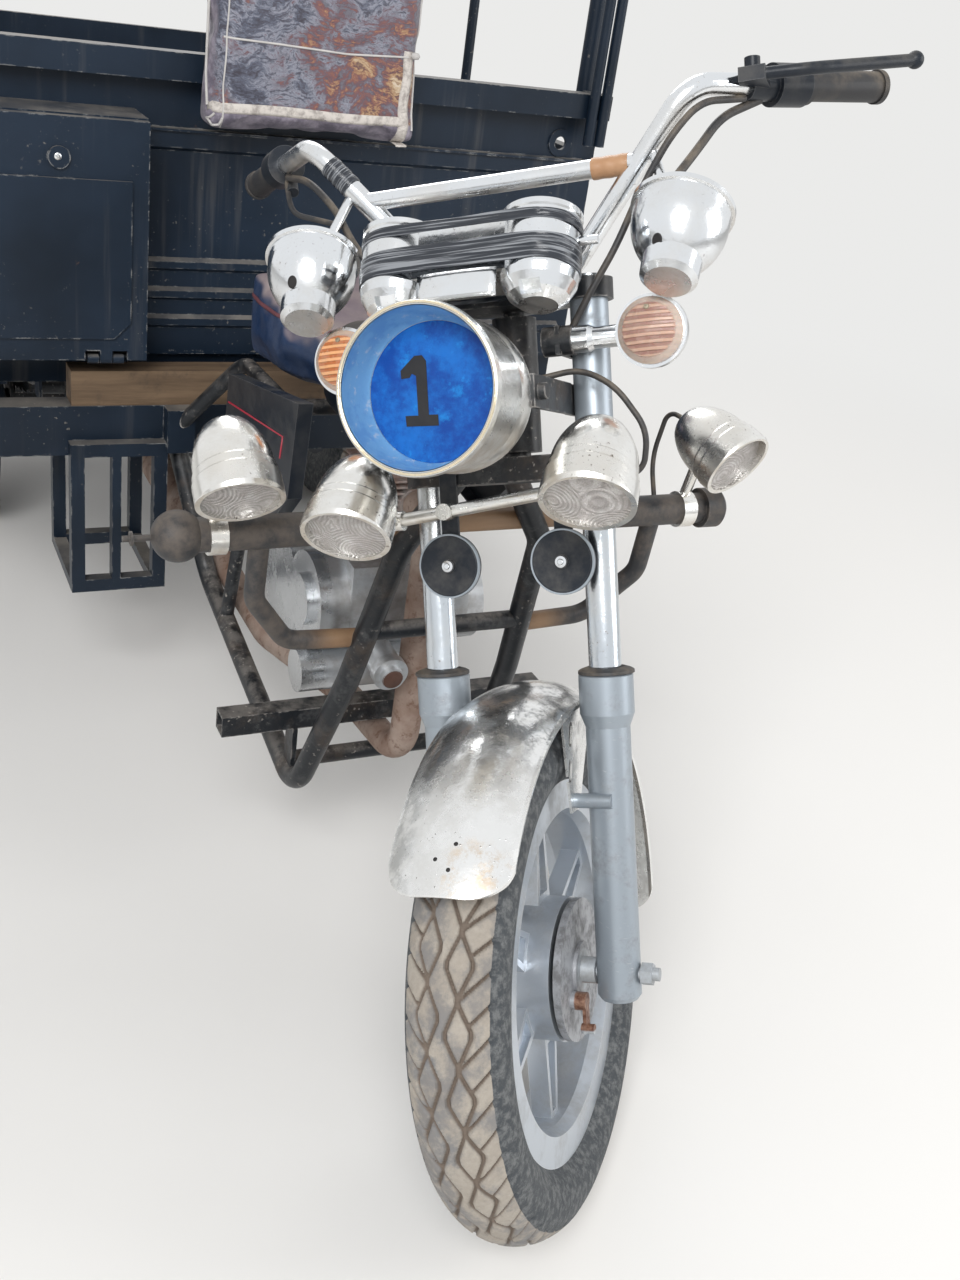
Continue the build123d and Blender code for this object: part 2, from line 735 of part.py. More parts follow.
def chassis_rails():
    end = back(bed_front_back + bed_length - 20)
    half = rail_width / 2
    ladder = None
    for side in (-1, 1):
        rail = block((side * rail_half - half, back(rail_start_back), rail_low),
                     (side * rail_half + half, end, rail_high))
        ladder = rail if ladder is None else ladder + rail
    for at in rail_ties_back:
        ladder += block((-rail_half, back(at), rail_low + 15), (rail_half, back(at + 40), rail_high - 5))
    # Front cross-member, wider than the rails
    ladder += block((-520, back(1215), cross_low), (520, back(1265), rail_high))
    # Spring hangers
    for side in (-1, 1):
        for at in (spring_front_back, spring_rear_back):
            x = side * spring_half
            ladder += block((x - 32, back(at - 30), 440), (x - 26, back(at + 30), rail_low + 20))
            ladder += block((x + 26, back(at - 30), 440), (x + 32, back(at + 30), rail_low + 20))
            outer, inner = x + side * 32, side * rail_half
            ladder += block((min(outer, inner), back(at - 30), rail_low),
                            (max(outer, inner), back(at + 30), rail_low + 20))
    # Open tray frame under the cross-member, on the right
    bars = [(-392, -368), (-320, -304), (-246, -222)]
    for low, high in bars:
        ladder += block((low, back(1190), 284), (high, back(1214), 560))
    ladder += block((-392, back(1190), 272), (-222, back(1214), 296))
    ladder += block((-392, back(1190), 536), (-222, back(1220), 560))
    ladder += block((-392, back(1190), 272), (-368, back(1420), 290))
    ladder += block((-246, back(1190), 272), (-222, back(1420), 290))
    ladder += block((-392, back(1396), 272), (-222, back(1420), 296))
    ladder += block((-392, back(1396), 272), (-368, back(1420), 560))
    ladder += block((-246, back(1396), 272), (-222, back(1420), 560))
    ladder += block((-392, back(1396), 542), (-200, back(1420), 560))
    return ladder


def crash_bar():
    y, z = back(crash_back), crash_up
    sleeve_in = 215.0
    bar = rod([(-crash_half + 30, y, z), (crash_half - 30, y, z)], crash_core_radius)
    for side in (-1, 1):
        bar += disc((0, y, z), (side, 0, 0), crash_sleeve_radius, sleeve_in, crash_half - 24)
        # Guard loop from the bar down and in to the down tube
        loop = [
            (side * 291, y, z), (side * 291, back(420), 640), (side * 232, back(452), 556),
            (side * 118, back(462), 545)]
        bar += rod(loop, 13.5, 42)
    bar += Pos(-crash_half, y, z) * Sphere(crash_ball_radius)
    bar += disc((-crash_half, y, z), (-1, 0, 0), 4, 20, 66)
    bar += disc((-crash_half, y, z), (-1, 0, 0), 9, 54, 57)
    cap = revolve(Plane.XY * make_face(
        Polyline((0, 16), (0, -26), (29, -26), (29, 2)) + dome(29, 2, 16)), Axis.Y)
    bar += Pos(crash_half, y, z) * Rot(0, 0, -90) * cap
    return bar - main_frame()


# Lamps on the crash bar: x, back, z of the centre, then heading out and tilt down of the axis
lamp_table = [
    ("outer right", -348.0, 338.0, 849.0, -2.0, 34.0),
    ("outer left", 340.0, 354.0, 854.0, 16.0, 16.0),
]


def bullet_lamps():
    shapes = []
    for name, x, behind, z, heading, tilt in lamp_table:
        lamp = Location((x, back(behind), z)) * aimed(heading, tilt) * lamp_shell()
        foot_y, foot_z = back(crash_back), crash_up + crash_radius_at(x)
        post = rod([(x, foot_y, foot_z + 3), (x, (foot_y + back(behind)) / 2 + 10, z - 18)], 8)
        strap = disc((x, foot_y, crash_up), (1, 0, 0), crash_radius_at(x) + 4, -11, 11)
        strap -= disc((x, foot_y, crash_up), (1, 0, 0), crash_radius_at(x), -12, 12)
        shapes.append(lamp + post + strap)
    return shapes


def crash_radius_at(x):
    return crash_sleeve_radius if abs(x) > 200 else crash_core_radius


def bullet_lenses():
    return [Location((x, back(behind), z)) * aimed(heading, tilt) * lamp_lens()
            for name, x, behind, z, heading, tilt in lamp_table]


# Cables from the lamps on the crash bar: the points from each lamp's back to the bar
lamp_leads = [
    [(-347, back(394), 886), (-338, back(436), 884), (-320, back(452), 806), (-302, back(424), 750)],
    [(322, back(418), 873), (315, back(456), 874), (306, back(460), 800), (300, back(424), 750)],
]


def lamp_cables():
    leads = []
    for points, lamp in zip(lamp_leads, bullet_lamps()):
        leads.append(cable(points, 3.5) - crash_bar() - lamp)
    return leads


def fuel_tank():
    # Sections from front to back: distance back, width, height, centre height
    sections = [
        (452, 90, 70, 868), (500, 190, 150, 868), (610, 250, 168, 866), (710, 226, 146, 852),
        (778, 130, 84, 820)]
    faces = []
    for at, width, height, up in sections:
        plane = Plane(origin=(0, back(at), up), x_dir=(1, 0, 0), z_dir=(0, 1, 0))
        faces.append(plane * RectangleRounded(width, height, min(width, height) * 0.36))
    tank = loft(faces, ruled=True)
    tunnel = Polyline(
        (back(440), 930), (back(560), 842), (back(862), 770), (back(862), 700), (back(440), 700), close=True)
    tank -= extrude(Plane.YZ * make_face(tunnel), tank_slot_half, both=True)
    tank += disc((0, back(600), 940), (0, 0, 1), 30, 0, 22)
    return tank


seat_front_back = 782.0
seat_rear_back = 1096.0
seat_half = 132.0
seat_nose_half = 84.0


def seat():
    # Side outline, then the plan that narrows towards the tank
    front, rear = back(seat_front_back), back(seat_rear_back)
    outline = make_face(
        Polyline((front, 786), (rear - 14, 764), (rear, 790))
        + ThreePointArc((rear, 790), (rear - 6, 882), (rear - 50, 914))
        + ThreePointArc((rear - 50, 914), (rear - 160, 898), (front + 36, 872))
        + ThreePointArc((front + 36, 872), (front + 6, 850), (front, 786)))
    body = extrude(Plane.YZ * outline, seat_half, both=True)
    nose, half = seat_nose_half, seat_half
    plan = Polyline(
        (-half, rear - 40), (-half, front + 130), (-nose, front), (nose, front), (half, front + 130),
        (half, rear - 40))
    plan = make_face(plan + ThreePointArc((half, rear - 40), (0, rear + 2), (-half, rear - 40)))
    return body & extrude(Plane.XY.offset(700) * plan, 300)


cover_out = 186.0


def side_covers():
    # Panels on both sides whose top edge rises towards the front, each on two pegs
    outline = Polyline(
        (back(604), 838), (back(948), 768), (back(960), 640), (back(700), 612), (back(622), 690), close=True)
    cover = extrude(Plane.YZ.offset(cover_out - 22) * make_face(outline), 22)
    cover -= extrude(Plane.YZ.offset(cover_out - 23) * offset(make_face(outline), -3), 20)
    cover += rod([(112, back(880), 742), (cover_out - 4, back(880), 742)], 8)
    cover += rod([(112, back(930), 738), (cover_out - 4, back(930), 738)], 8)
    return both_sides(cover - main_frame())


def crankcase():
    outline = make_face(Polyline(
        (back(566), 600), (back(560), 486), (back(604), 450), (back(640), 396), (back(660), 372),
        (back(850), 372), (back(892), 420), (back(892), 520), (back(846), 566), (back(720), 610), close=True))
    case = extrude(Plane.YZ * outline, 96, both=True)
    right = (back(636), 520)
    case += disc((0, right[0], right[1]), (-1, 0, 0), 74, 90, 142)
    case += disc((0, right[0], right[1]), (-1, 0, 0), 40, 142, 152)
    case += disc((0, back(770), 480), (-1, 0, 0), 84, 90, 136)
    case += disc((0, back(650), 500), (1, 0, 0), 70, 90, 134)
    case += disc((0, back(790), 470), (1, 0, 0), 60, 90, 124)
    # Canister low in front, starter motor towards the wheel and a housing ahead of the barrel
    case += disc((0, back(606), 414), (-1, 0, 0), 34, -60, 160)
    starter = (-55, back(484), 463)
    case += disc(starter, (0, 1, 0.1), 27, 0, 16)
    case += disc(starter, (0, 1, 0.1), 24, 0, 130)
    case += disc(starter, (0, 1, 0.1), 17, -12, 0)
    case += disc((0, back(604), 566), (1, 0, 0), 26, 30, 118)
    return case


def cylinder():
    base = 610.0
    barrel = block((-36, back(616), base), (36, back(690), 738))
    for index in range(12):
        low = base + 8 + index * 9.5
        half = 60 if index < 8 else 66
        barrel += block((-half, back(653 - half), low), (half, back(653 + half), low + 3.2))
    barrel += block((-48, back(600), 716), (48, back(706), 752))
    barrel += disc((0, back(600), 690), (0, -1, 0), 26, -6, 16)
    return barrel


def exhaust():
    run = 283.0
    inlet = [(0, back(583), 690), (0, back(528), 690), (-2, back(524), run), (-20, back(720), run),
             (-100, back(930), 296), (-120, back(1190), 330), (-120, back(1290), 330)]
    pipe = rod(inlet, 23, [32, 60, 80, 120, 90])
    muffler = Plane(origin=(-120, back(1280), 330), z_dir=(0, 1, 0))
    pipe += extrude(muffler * Circle(46), 440)
    pipe += extrude(muffler.offset(440) * Circle(14), 80)
    return pipe


def footrest():
    y, z, half = back(612), 331.0, 17.0
    bar = block((-272, y - half, z - half), (272, y + half, z + half))
    bar -= block((-280, y - half + 3, z - half + 3), (280, y + half - 3, z + half - 3))
    for side in (-1, 1):
        x = side * cradle_half
        bar += block((x - 4, y - half, 222), (x + 4, y + half, z - half + 2))
    return bar - main_frame()


def propshaft_and_axle():
    axle_y = back(wheelbase)
    centre = (0, axle_y, rear_radius)
    backplate = rear_track_half - 108
    axle = disc(centre, (1, 0, 0), 34, -backplate, backplate)
    # Differential: a bowl round the tubes with its nose towards the propshaft
    axle += Pos(-30, axle_y, rear_radius) * turned([
        (-72, 0), (-72, 40), (-58, 78), (-36, 106), (22, 112), (54, 84), (70, 42), (70, 0)])
    for side in (-1, 1):
        axle += disc(centre, (side, 0, 0), 96, backplate - 10, backplate)
        axle += disc(centre, (side, 0, 0), 17, backplate, rear_track_half + 20)
        x = side * spring_half
        axle += block((x - 24, axle_y - 44, rear_radius + 20), (x + 24, axle_y + 44, spring_seat_z))
    nose = (-30, axle_y - 100, rear_radius)
    axle += disc(nose, (0, -1, 0), 46, -30, 34)
    axle += disc((-30, back(888), 446), (0, 1, 0), 36, 4, 30)
    axle += rod([(-30, back(905), 444), (-30, axle_y - 130, rear_radius)], 22)
    return axle


spring_half = 330.0
spring_front_back = wheelbase - 470.0
spring_rear_back = wheelbase + 470.0
spring_seat_z = rear_radius + 42.0
spring_eye_z = 462.0


def leaf_springs():
    # Leaves: half length and height above the spring seat
    leaves = [(466, 42), (350, 32), (260, 22), (170, 12), (100, 2)]
    packs = []
    for side in (-1, 1):
        x = side * spring_half
        pack = None
        for half, up in leaves:
            y0, z0 = back(wheelbase), spring_seat_z + up
            rise = (spring_eye_z - spring_seat_z - 42) * (half / 470.0) ** 2
            face = make_face(
                ThreePointArc((y0 - half, z0 + rise), (y0, z0), (y0 + half, z0 + rise))
                + Line((y0 + half, z0 + rise), (y0 + half, z0 + rise + 10))
                + ThreePointArc((y0 + half, z0 + rise + 10), (y0, z0 + 10), (y0 - half, z0 + rise + 10))
                + Line((y0 - half, z0 + rise + 10), (y0 - half, z0 + rise)))
            leaf = extrude(Plane.YZ.offset(x - 25) * face, 50)
            pack = leaf if pack is None else pack + leaf
        for end in (-1, 1):
            y = back(wheelbase) + end * 462
            pack += disc((x, y, spring_eye_z + 4), (1, 0, 0), 20, -25, 25)
        packs.append(pack)
    return packs


def rear_tyre(side):
    flat, shoulder = rear_radius, rear_radius - 12
    mid = (rear_radius + rear_flange_radius) / 2
    crown = Polyline((-42, flat), (42, flat), (58, shoulder))
    wall = ThreePointArc((58, shoulder), (rear_tyre_half, mid), (rear_rim_half, rear_flange_radius))
    seat_line = Line((rear_rim_half, rear_flange_radius), (-rear_rim_half, rear_flange_radius))
    other = ThreePointArc((-rear_rim_half, rear_flange_radius), (-rear_tyre_half, mid), (-58, shoulder))
    face = make_face(crown + wall + seat_line + other + Line((-58, shoulder), (-42, flat)))
    return Pos(side * rear_track_half, back(wheelbase), rear_radius) * revolve(Plane.XZ * face, Axis.X)


def rear_rim(side):
    # Steel disc wheel with its drum; the dish faces out
    r, h = rear_flange_radius, rear_rim_half
    rim = turned([
        (-h, r), (-h, r - 14), (-h + 8, r - 20), (-22, r - 34), (22, r - 34), (h - 8, r - 20), (h, r - 14),
        (h, r), (h - 6, r), (h - 10, r - 14), (24, r - 28), (-24, r - 28), (-h + 10, r - 14), (-h + 6, r)])
    dish = turned([(0, 0), (0, 78), (12, 100), (4, r - 32), (-4, r - 32), (2, 100), (-10, 78), (-10, 0)])
    drum = turned([(-96, 0), (-96, 92), (-14, 92), (-8, 78), (-8, 0)])
    drum -= turned([(-100, 0), (-100, 84), (-50, 84), (-50, 0)])
    hub_cap = disc((0, 0, 0), (1, 0, 0), 34, -4, 34)
    wheel = rim + dish + drum + hub_cap
    for index in range(5):
        angle = math.radians(index * 72)
        wheel += disc((0, 56 * math.cos(angle), 56 * math.sin(angle)), (1, 0, 0), 8, -4, 14)
        slot = math.radians(index * 72 + 36)
        wheel -= disc((0, 112 * math.cos(slot), 112 * math.sin(slot)), (1, 0, 0), 10, -30, 30)
    wheel -= disc((0, 0, 0), (1, 0, 0), 17 + turn_gap, -120, 20.5)
    if side < 0:
        wheel = mirror(wheel, Plane.YZ)
    return Pos(side * rear_track_half, back(wheelbase), rear_radius) * wheel


def rear_mudguards():
    shapes = []
    radius = rear_radius + 42
    for side in (-1, 1):
        ring = Plane(origin=(side * rear_track_half - 78, back(wheelbase), rear_radius), z_dir=(1, 0, 0))
        guard = extrude(ring * (Circle(radius + 3) - Circle(radius)), 156)
        y = back(wheelbase)
        guard &= block((-700, y - 330, rear_radius + 130), (700, y + 330, 660))
        stay = block((side * (rear_track_half - 60) - 20, y - 10, rear_radius + radius + 1),
                     (side * (rear_track_half - 60) + 20, y + 10, bed_floor_low - 62))
        shapes.append(guard + stay)
    return shapes


# Bed

bed_half = bed_width / 2
bed_front_y = back(bed_front_back)
bed_rear_y = back(bed_front_back + bed_length)
bearer_high = 62.0
field_side = 40.0
field_high = 1.5
ledge_high = 1078.0
tailgate_pin = (bed_rear_y + tailgate_gap, bed_floor_low + floor_thick + tailgate_gap)
tailgate_hinge_x = (-420, 0, 420)
locker_pin = (back(locker_face_back) + door_thick - hinge_barrel, locker_low + 2)
locker_hinge_x = (-locker_out + 70, -locker_in - 70)


def bed_floor():
    top = bed_floor_low + floor_thick
    floor = block((-bed_half, bed_front_y, bed_floor_low), (bed_half, bed_rear_y, top))
    # The field inside the walls and posts is raised
    floor += block((field_side - bed_half, bed_front_y + field_side, top - 1),
                   (bed_half - field_side, bed_rear_y - field_side, top + field_high))
    for index in range(7):
        at = bed_front_y + 30 + index * (bed_length - 90) / 6
        floor += block((-bed_half + 10, at, bed_floor_low - bearer_high), (bed_half - 10, at + 38, bed_floor_low))
    for x in tailgate_hinge_x:
        fixed, moving, notch, seat = hinge(x, *tailgate_pin)
        floor = floor - seat + fixed
        for side in (-1, 1):
            middle = x + side * 21
            floor += block((middle - 9, bed_rear_y - 2, bed_floor_low), (middle + 9, bed_rear_y + 8, top))
    return floor


def ribbed(length, low, high, ribs, depth=9.0):
    # A pressed sheet along X with its ribs towards -Y, from x = 0
    wall = block((0, 0, low), (length, sheet, high))
    for centre, tall in ribs:
        face = make_face(Polyline(
            (0, centre - tall / 2), (0, centre + tall / 2), (-depth, centre + tall / 2 - 6),
            (-depth, centre - tall / 2 + 6), close=True))
        wall += extrude(Plane.YZ.offset(24) * face, length - 48)
    return wall


def bed_front_wall():
    low = bed_floor_low + floor_thick
    ribs = [(ledge_high - 18, 38), (848, 24), (796, 24), (746, 24)]
    wall = Pos(-bed_half, bed_front_y, 0) * ribbed(bed_width, low, front_wall_high, ribs)
    wall += block((-bed_half, bed_front_y - rail_box + sheet, front_wall_high - 44),
                  (bed_half, bed_front_y + sheet, front_wall_high))
    wall += block((-bed_half, bed_front_y - 15, ledge_high - 4), (bed_half, bed_front_y, ledge_high))
    ring = disc((550, bed_front_y, ledge_high + 27), (0, -1, 0), 25, 0, 4)
    wall += ring
    wall -= disc((550, bed_front_y, ledge_high + 27), (0, -1, 0), 12, -10, 10)
    for side in (-1, 1):
        x = side * (bed_half - 15)
        wall += block((x - 15, bed_front_y, low), (x + 15, bed_front_y + 30, front_wall_high))
    # The locker's back lies against plain sheet
    wall -= block(
        (-locker_out - 1, bed_front_y - 30, locker_low - 1), (-locker_in + 1, bed_front_y, locker_high + 1))
    return wall


def bed_sides():
    low = bed_floor_low + floor_thick
    start = bed_front_y + 30
    length = bed_rear_y - start
    ribs = [(1010, 40), (860, 30), (780, 30)]
    wall = Pos(bed_half - 9, start, 0) * Rot(0, 0, 90) * ribbed(length, low, side_wall_high, ribs)
    wall += block((bed_half - 30, start, side_wall_high - 36), (bed_half, bed_rear_y, side_wall_high))
    wall += block((bed_half - 30, bed_rear_y - 34, low), (bed_half, bed_rear_y, side_wall_high))
    # Hoop rack over the side wall
    x = bed_half - 17
    front, rear, top = start + 17, bed_rear_y - 18, rack_high - 16
    foot = side_wall_high - 2
    wall += rod([(x, front, foot), (x, front, top), (x, rear, top), (x, rear, foot)], 16, 90)
    # Twin stays before the front wall, bent back to the hoop
    stay_y = bed_front_y - rail_box + sheet - 10
    for dx in (-45, -20):
        stay_x = bed_half + dx
        wall += rod([(stay_x, stay_y, locker_high + 6), (stay_x, stay_y, 1470), (x, front, 1560)], 10, 50)
    for share in (1, 2):
        y = front + (rear - front) * share / 3
        wall += rod([(x, y, foot), (x, y, top)], 11)
    return both_sides(wall)


def tailgate():
    low = bed_floor_low + floor_thick + tailgate_gap
    wide = bed_width - 8
    ribs = [(1010, 36), (870, 30), (780, 30)]
    gate = Rot(0, 0, 180) * ribbed(wide, low, side_wall_high, ribs)
    gate = Pos(wide / 2, bed_rear_y + tailgate_gap + sheet, 0) * gate
    y = bed_rear_y + tailgate_gap
    gate += block((-wide / 2, y, side_wall_high - 30), (wide / 2, y + tailgate_thick, side_wall_high))
    gate += block((-wide / 2, y, low), (wide / 2, y + tailgate_thick, low + 26))
    for side in (-1, 1):
        x = side * (wide / 2 - 13)
        gate += block((x - 13, y, low), (x + 13, y + tailgate_thick, side_wall_high))
    for x in tailgate_hinge_x:
        fixed, moving, notch, seat = hinge(x, *tailgate_pin)
        web = block((x - 10, y, low), (x + 10, y + tailgate_thick, low + 26))
        web -= disc((x, *tailgate_pin), (1, 0, 0), hinge_pin + turn_gap, -11, 11)
        gate = gate - notch + moving + web
    return gate


def locker_box():
    low = (-locker_out, back(locker_face_back) + door_thick + door_gap, locker_low)
    high = (-locker_in, bed_front_y, locker_high)
    box = block(low, high)
    inside = (high[0] - sheet, high[1] - sheet, high[2] - sheet)
    box -= block((low[0] + sheet, low[1] - 1, low[2] + sheet), inside)
    for x in locker_hinge_x:
        fixed, moving, notch, seat = hinge(x, *locker_pin)
        box = box - seat + fixed
        for side in (-1, 1):
            middle = x + side * 21
            box += block(
                (middle - 9, locker_pin[0] - 2, locker_low - 4), (middle + 9, low[1] + 6, locker_low + 3))
    return box


def locker_door():
    y = back(locker_face_back)
    door = block((-locker_out + 2, y, locker_low + 2), (-locker_in - 2, y + door_thick, locker_high - 2))
    door -= block((-locker_out + 5, y + 3, locker_low + 5), (-locker_in - 5, y + door_thick + 1, locker_high - 5))
    # Raised panel with two cut lower corners, and the round lock
    left, right = 30 - locker_out, -30 - locker_in
    panel = Polyline(
        (left, 1010), (left, 790), (left + 30, 752), (right - 28, 752), (right, 780), (right, 1010), close=True)
    frame_line = extrude(Plane(origin=(0, y, 0), x_dir=(1, 0, 0), z_dir=(0, -1, 0)) * make_face(panel), 5)
    door += frame_line
    door += disc((-locker_in - 144, y, 1041), (0, -1, 0), 17, -3, 6)
    for x in locker_hinge_x:
        fixed, moving, notch, seat = hinge(x, *locker_pin)
        web = block((x - 10, y, locker_low + 2), (x + 10, y + door_thick, locker_low + 20))
        web -= disc((x, *locker_pin), (1, 0, 0), hinge_pin + turn_gap, -11, 11)
        door = door - notch + moving + web
    return door


def timber_beam():
    return block((-385, back(1218), rail_high), (250, back(1272), bed_floor_low))


def backrest_cushion():
    front = bed_front_y - rail_box + sheet
    return fillet(block((-172, front - 90, 1088), (214, front, 1400)).edges(), 14)


def rear_bumper():
    # Bumper channel under the bed's rear edge, with the tow eye plate at its middle
    y = bed_rear_y
    bar = block((-560, y - 34, 470), (560, y - 4, 540))
    for side in (-1, 1):
        x = side * rail_half
        bar += block((x - 25, y - 20, 538), (x + 25, y - 4, rail_high))
    eye = block((-40, y - 60, 497), (40, y + 46, 509)) - disc((0, y + 20, 0), (0, 0, 1), 11, 480, 520)
    return bar + eye


def tail_lamps():
    shapes = []
    for side in (-1, 1):
        x = side * 490
        shapes.append(block((x - 55, bed_rear_y - 4, 478), (x + 55, bed_rear_y + 16, 532)))
    return shapes


save("front_tyre", fork_frame * front_tyre())
save("front_rim", fork_frame * front_rim())
steered = {
    "front_axle": front_axle, "fork_sliders": fork_sliders, "fork_stanchions": fork_stanchions,
    "fork_clamps": fork_clamps, "front_fender": front_fender, "handlebar": handlebar, "grips": grips,
    "hand_controls": hand_controls, "headlight_shell": headlight_shell, "headlight_plate": headlight_plate,
    "signal_bodies": signal_bodies, "signal_lenses": signal_lenses, "gauge_pod": gauge_pod,
    "speaker_pods": speaker_pods, "horns": horns, "fork_covers": fork_covers, "light_bar": light_bar,
    "fork_lamps": fork_lamps, "fork_lamp_lenses": fork_lamp_lenses, "control_cables": control_cables,
}
# What is cut to seat on another piece of the fork
seated = {
    "front_fender": fork_sliders, "signal_bodies": fork_clamps, "gauge_pod": fork_clamps,
    "hand_controls": handlebar, "grips": handlebar, "speaker_pods": handlebar,
}
for name, make in steered.items():
    made = make()
    made = made if isinstance(made, list) else [made]
    if name in seated:
        carrier = seated[name]()
        carrier = carrier if isinstance(carrier, list) else [carrier]
        made = [shape - carrier for shape in made]
    save(name, [fork_frame * shape for shape in made])

fixed = {
    "main_frame": main_frame, "chassis_rails": chassis_rails, "crash_bar": crash_bar,
    "bullet_lamps": bullet_lamps, "bullet_lenses": bullet_lenses, "lamp_cables": lamp_cables,
    "fuel_tank": fuel_tank, "seat": seat,
    "side_covers": side_covers, "crankcase": crankcase, "cylinder": cylinder, "exhaust": exhaust,
    "footrest": footrest, "rear_axle": propshaft_and_axle, "leaf_springs": leaf_springs,
    "rear_mudguards": rear_mudguards, "bed_floor": bed_floor, "bed_front_wall": bed_front_wall,
    "bed_sides": bed_sides, "tailgate": tailgate, "locker_box": locker_box, "locker_door": locker_door,
    "timber_beam": timber_beam, "backrest_cushion": backrest_cushion, "rear_bumper": rear_bumper,
    "tail_lamps": tail_lamps,
}
for name, make in fixed.items():
    save(name, make())
for side, word in ((1, "left"), (-1, "right")):
    save(f"rear_tyre_{word}", rear_tyre(side))
    save(f"rear_rim_{word}", rear_rim(side))

print("front axle height", round(front_axle_z, 2))
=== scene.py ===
import json
import math

import bmesh
import bpy
import numpy as np
from mathutils import Matrix, Vector
from mathutils.bvhtree import BVHTree


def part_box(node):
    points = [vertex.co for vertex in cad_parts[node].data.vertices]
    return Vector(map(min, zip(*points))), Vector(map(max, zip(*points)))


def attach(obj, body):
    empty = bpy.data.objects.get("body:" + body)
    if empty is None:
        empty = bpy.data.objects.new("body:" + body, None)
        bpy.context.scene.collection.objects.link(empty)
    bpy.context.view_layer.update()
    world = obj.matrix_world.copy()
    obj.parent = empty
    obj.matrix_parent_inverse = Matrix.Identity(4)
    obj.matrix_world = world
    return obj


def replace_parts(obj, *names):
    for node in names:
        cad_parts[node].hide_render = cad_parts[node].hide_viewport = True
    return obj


# Cargo motor tricycle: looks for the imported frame. Metres, +Z up, the front faces -Y.

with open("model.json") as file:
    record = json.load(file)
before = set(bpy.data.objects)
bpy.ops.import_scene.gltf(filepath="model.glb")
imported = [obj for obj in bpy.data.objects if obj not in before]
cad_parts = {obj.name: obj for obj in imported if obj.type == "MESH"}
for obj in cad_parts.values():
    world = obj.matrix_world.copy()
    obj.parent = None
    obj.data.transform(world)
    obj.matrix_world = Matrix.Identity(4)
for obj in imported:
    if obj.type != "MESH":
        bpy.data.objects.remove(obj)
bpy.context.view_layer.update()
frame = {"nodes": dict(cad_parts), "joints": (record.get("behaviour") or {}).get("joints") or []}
print("frame loaded")

joints = {joint["name"]: joint for joint in frame["joints"]}

# Places that pieces are built in: the steered fork (x out, y back, z up the legs) and the wheels
wheelJoint, steerJoint = joints["front_wheel_spin"], joints["steer"]
forkUp = Vector(steerJoint["axis"]).normalized()
forkOut = Vector(wheelJoint["axis"]).normalized()
forkBack = forkUp.cross(forkOut)


def placeOf(origin, x, y, z):
    turn = Matrix((x, y, z)).transposed().to_4x4()
    return Matrix.Translation(origin) @ turn


forkPlace = placeOf(Vector(wheelJoint["pos_m"]), forkOut, forkBack, forkUp)
level = (Vector((1, 0, 0)), Vector((0, 1, 0)), Vector((0, 0, 1)))


# Camera, fitted to the photograph

cameraView = {
    "place": (-0.757, -2.467, 1.422), "turn": 28.785, "down": 27.639, "roll": 8.715,
    "focal": 1315.0, "frameHeight": 1280.0, "film": 36.0,
}


def makeCamera(view):
    turn, down, roll = (math.radians(view[k]) for k in ("turn", "down", "roll"))
    ahead = Vector((math.sin(turn) * math.cos(down), math.cos(turn) * math.cos(down), -math.sin(down)))
    right = Vector((math.cos(turn), -math.sin(turn), 0))
    up = right.cross(ahead)
    tiltedRight = right * math.cos(roll) + up * math.sin(roll)
    tiltedUp = up * math.cos(roll) - right * math.sin(roll)
    data = bpy.data.cameras.new("camera")
    data.sensor_fit = "VERTICAL"
    data.sensor_height = view["film"]
    data.lens = view["focal"] / view["frameHeight"] * view["film"]
    data.clip_start, data.clip_end = 0.02, 60
    camera = bpy.data.objects.new("camera", data)
    camera.matrix_world = placeOf(Vector(view["place"]), tiltedRight, tiltedUp, -ahead)
    bpy.context.scene.collection.objects.link(camera)
    bpy.context.scene.camera = camera


makeCamera(cameraView)
print("camera placed")


# Shader sums: a Wire is one output socket, and sums on it add Math nodes


class Wire:
    def __init__(self, finish, socket):
        self.finish, self.socket = finish, socket

    def math(self, operation, other, swapped=False):
        pair = [other, self] if swapped else [self, other]
        return self.finish.node("ShaderNodeMath", {"operation": operation}, pair)

    def __add__(self, other):
        return self.math("ADD", other)

    def __sub__(self, other):
        return self.math("SUBTRACT", other)

    def __rsub__(self, other):
        return self.math("SUBTRACT", other, True)

    def __mul__(self, other):
        return self.math("MULTIPLY", other)

    def __pow__(self, other):
        return self.math("POWER", other)

    def between(self, low, high):  # 0 at low, 1 at high, smooth
        return self.finish.node(
            "ShaderNodeMapRange", {"interpolation_type": "SMOOTHSTEP"}, {0: self, 1: low, 2: high})

    def top(self, other):
        return self.math("MAXIMUM", other)

    def low(self, other):
        return self.math("MINIMUM", other)

    def size(self):
        return self.finish.node("ShaderNodeMath", {"operation": "ABSOLUTE"}, [self])

    def sine(self):
        return self.finish.node("ShaderNodeMath", {"operation": "SINE"}, [self])


finishes = {}


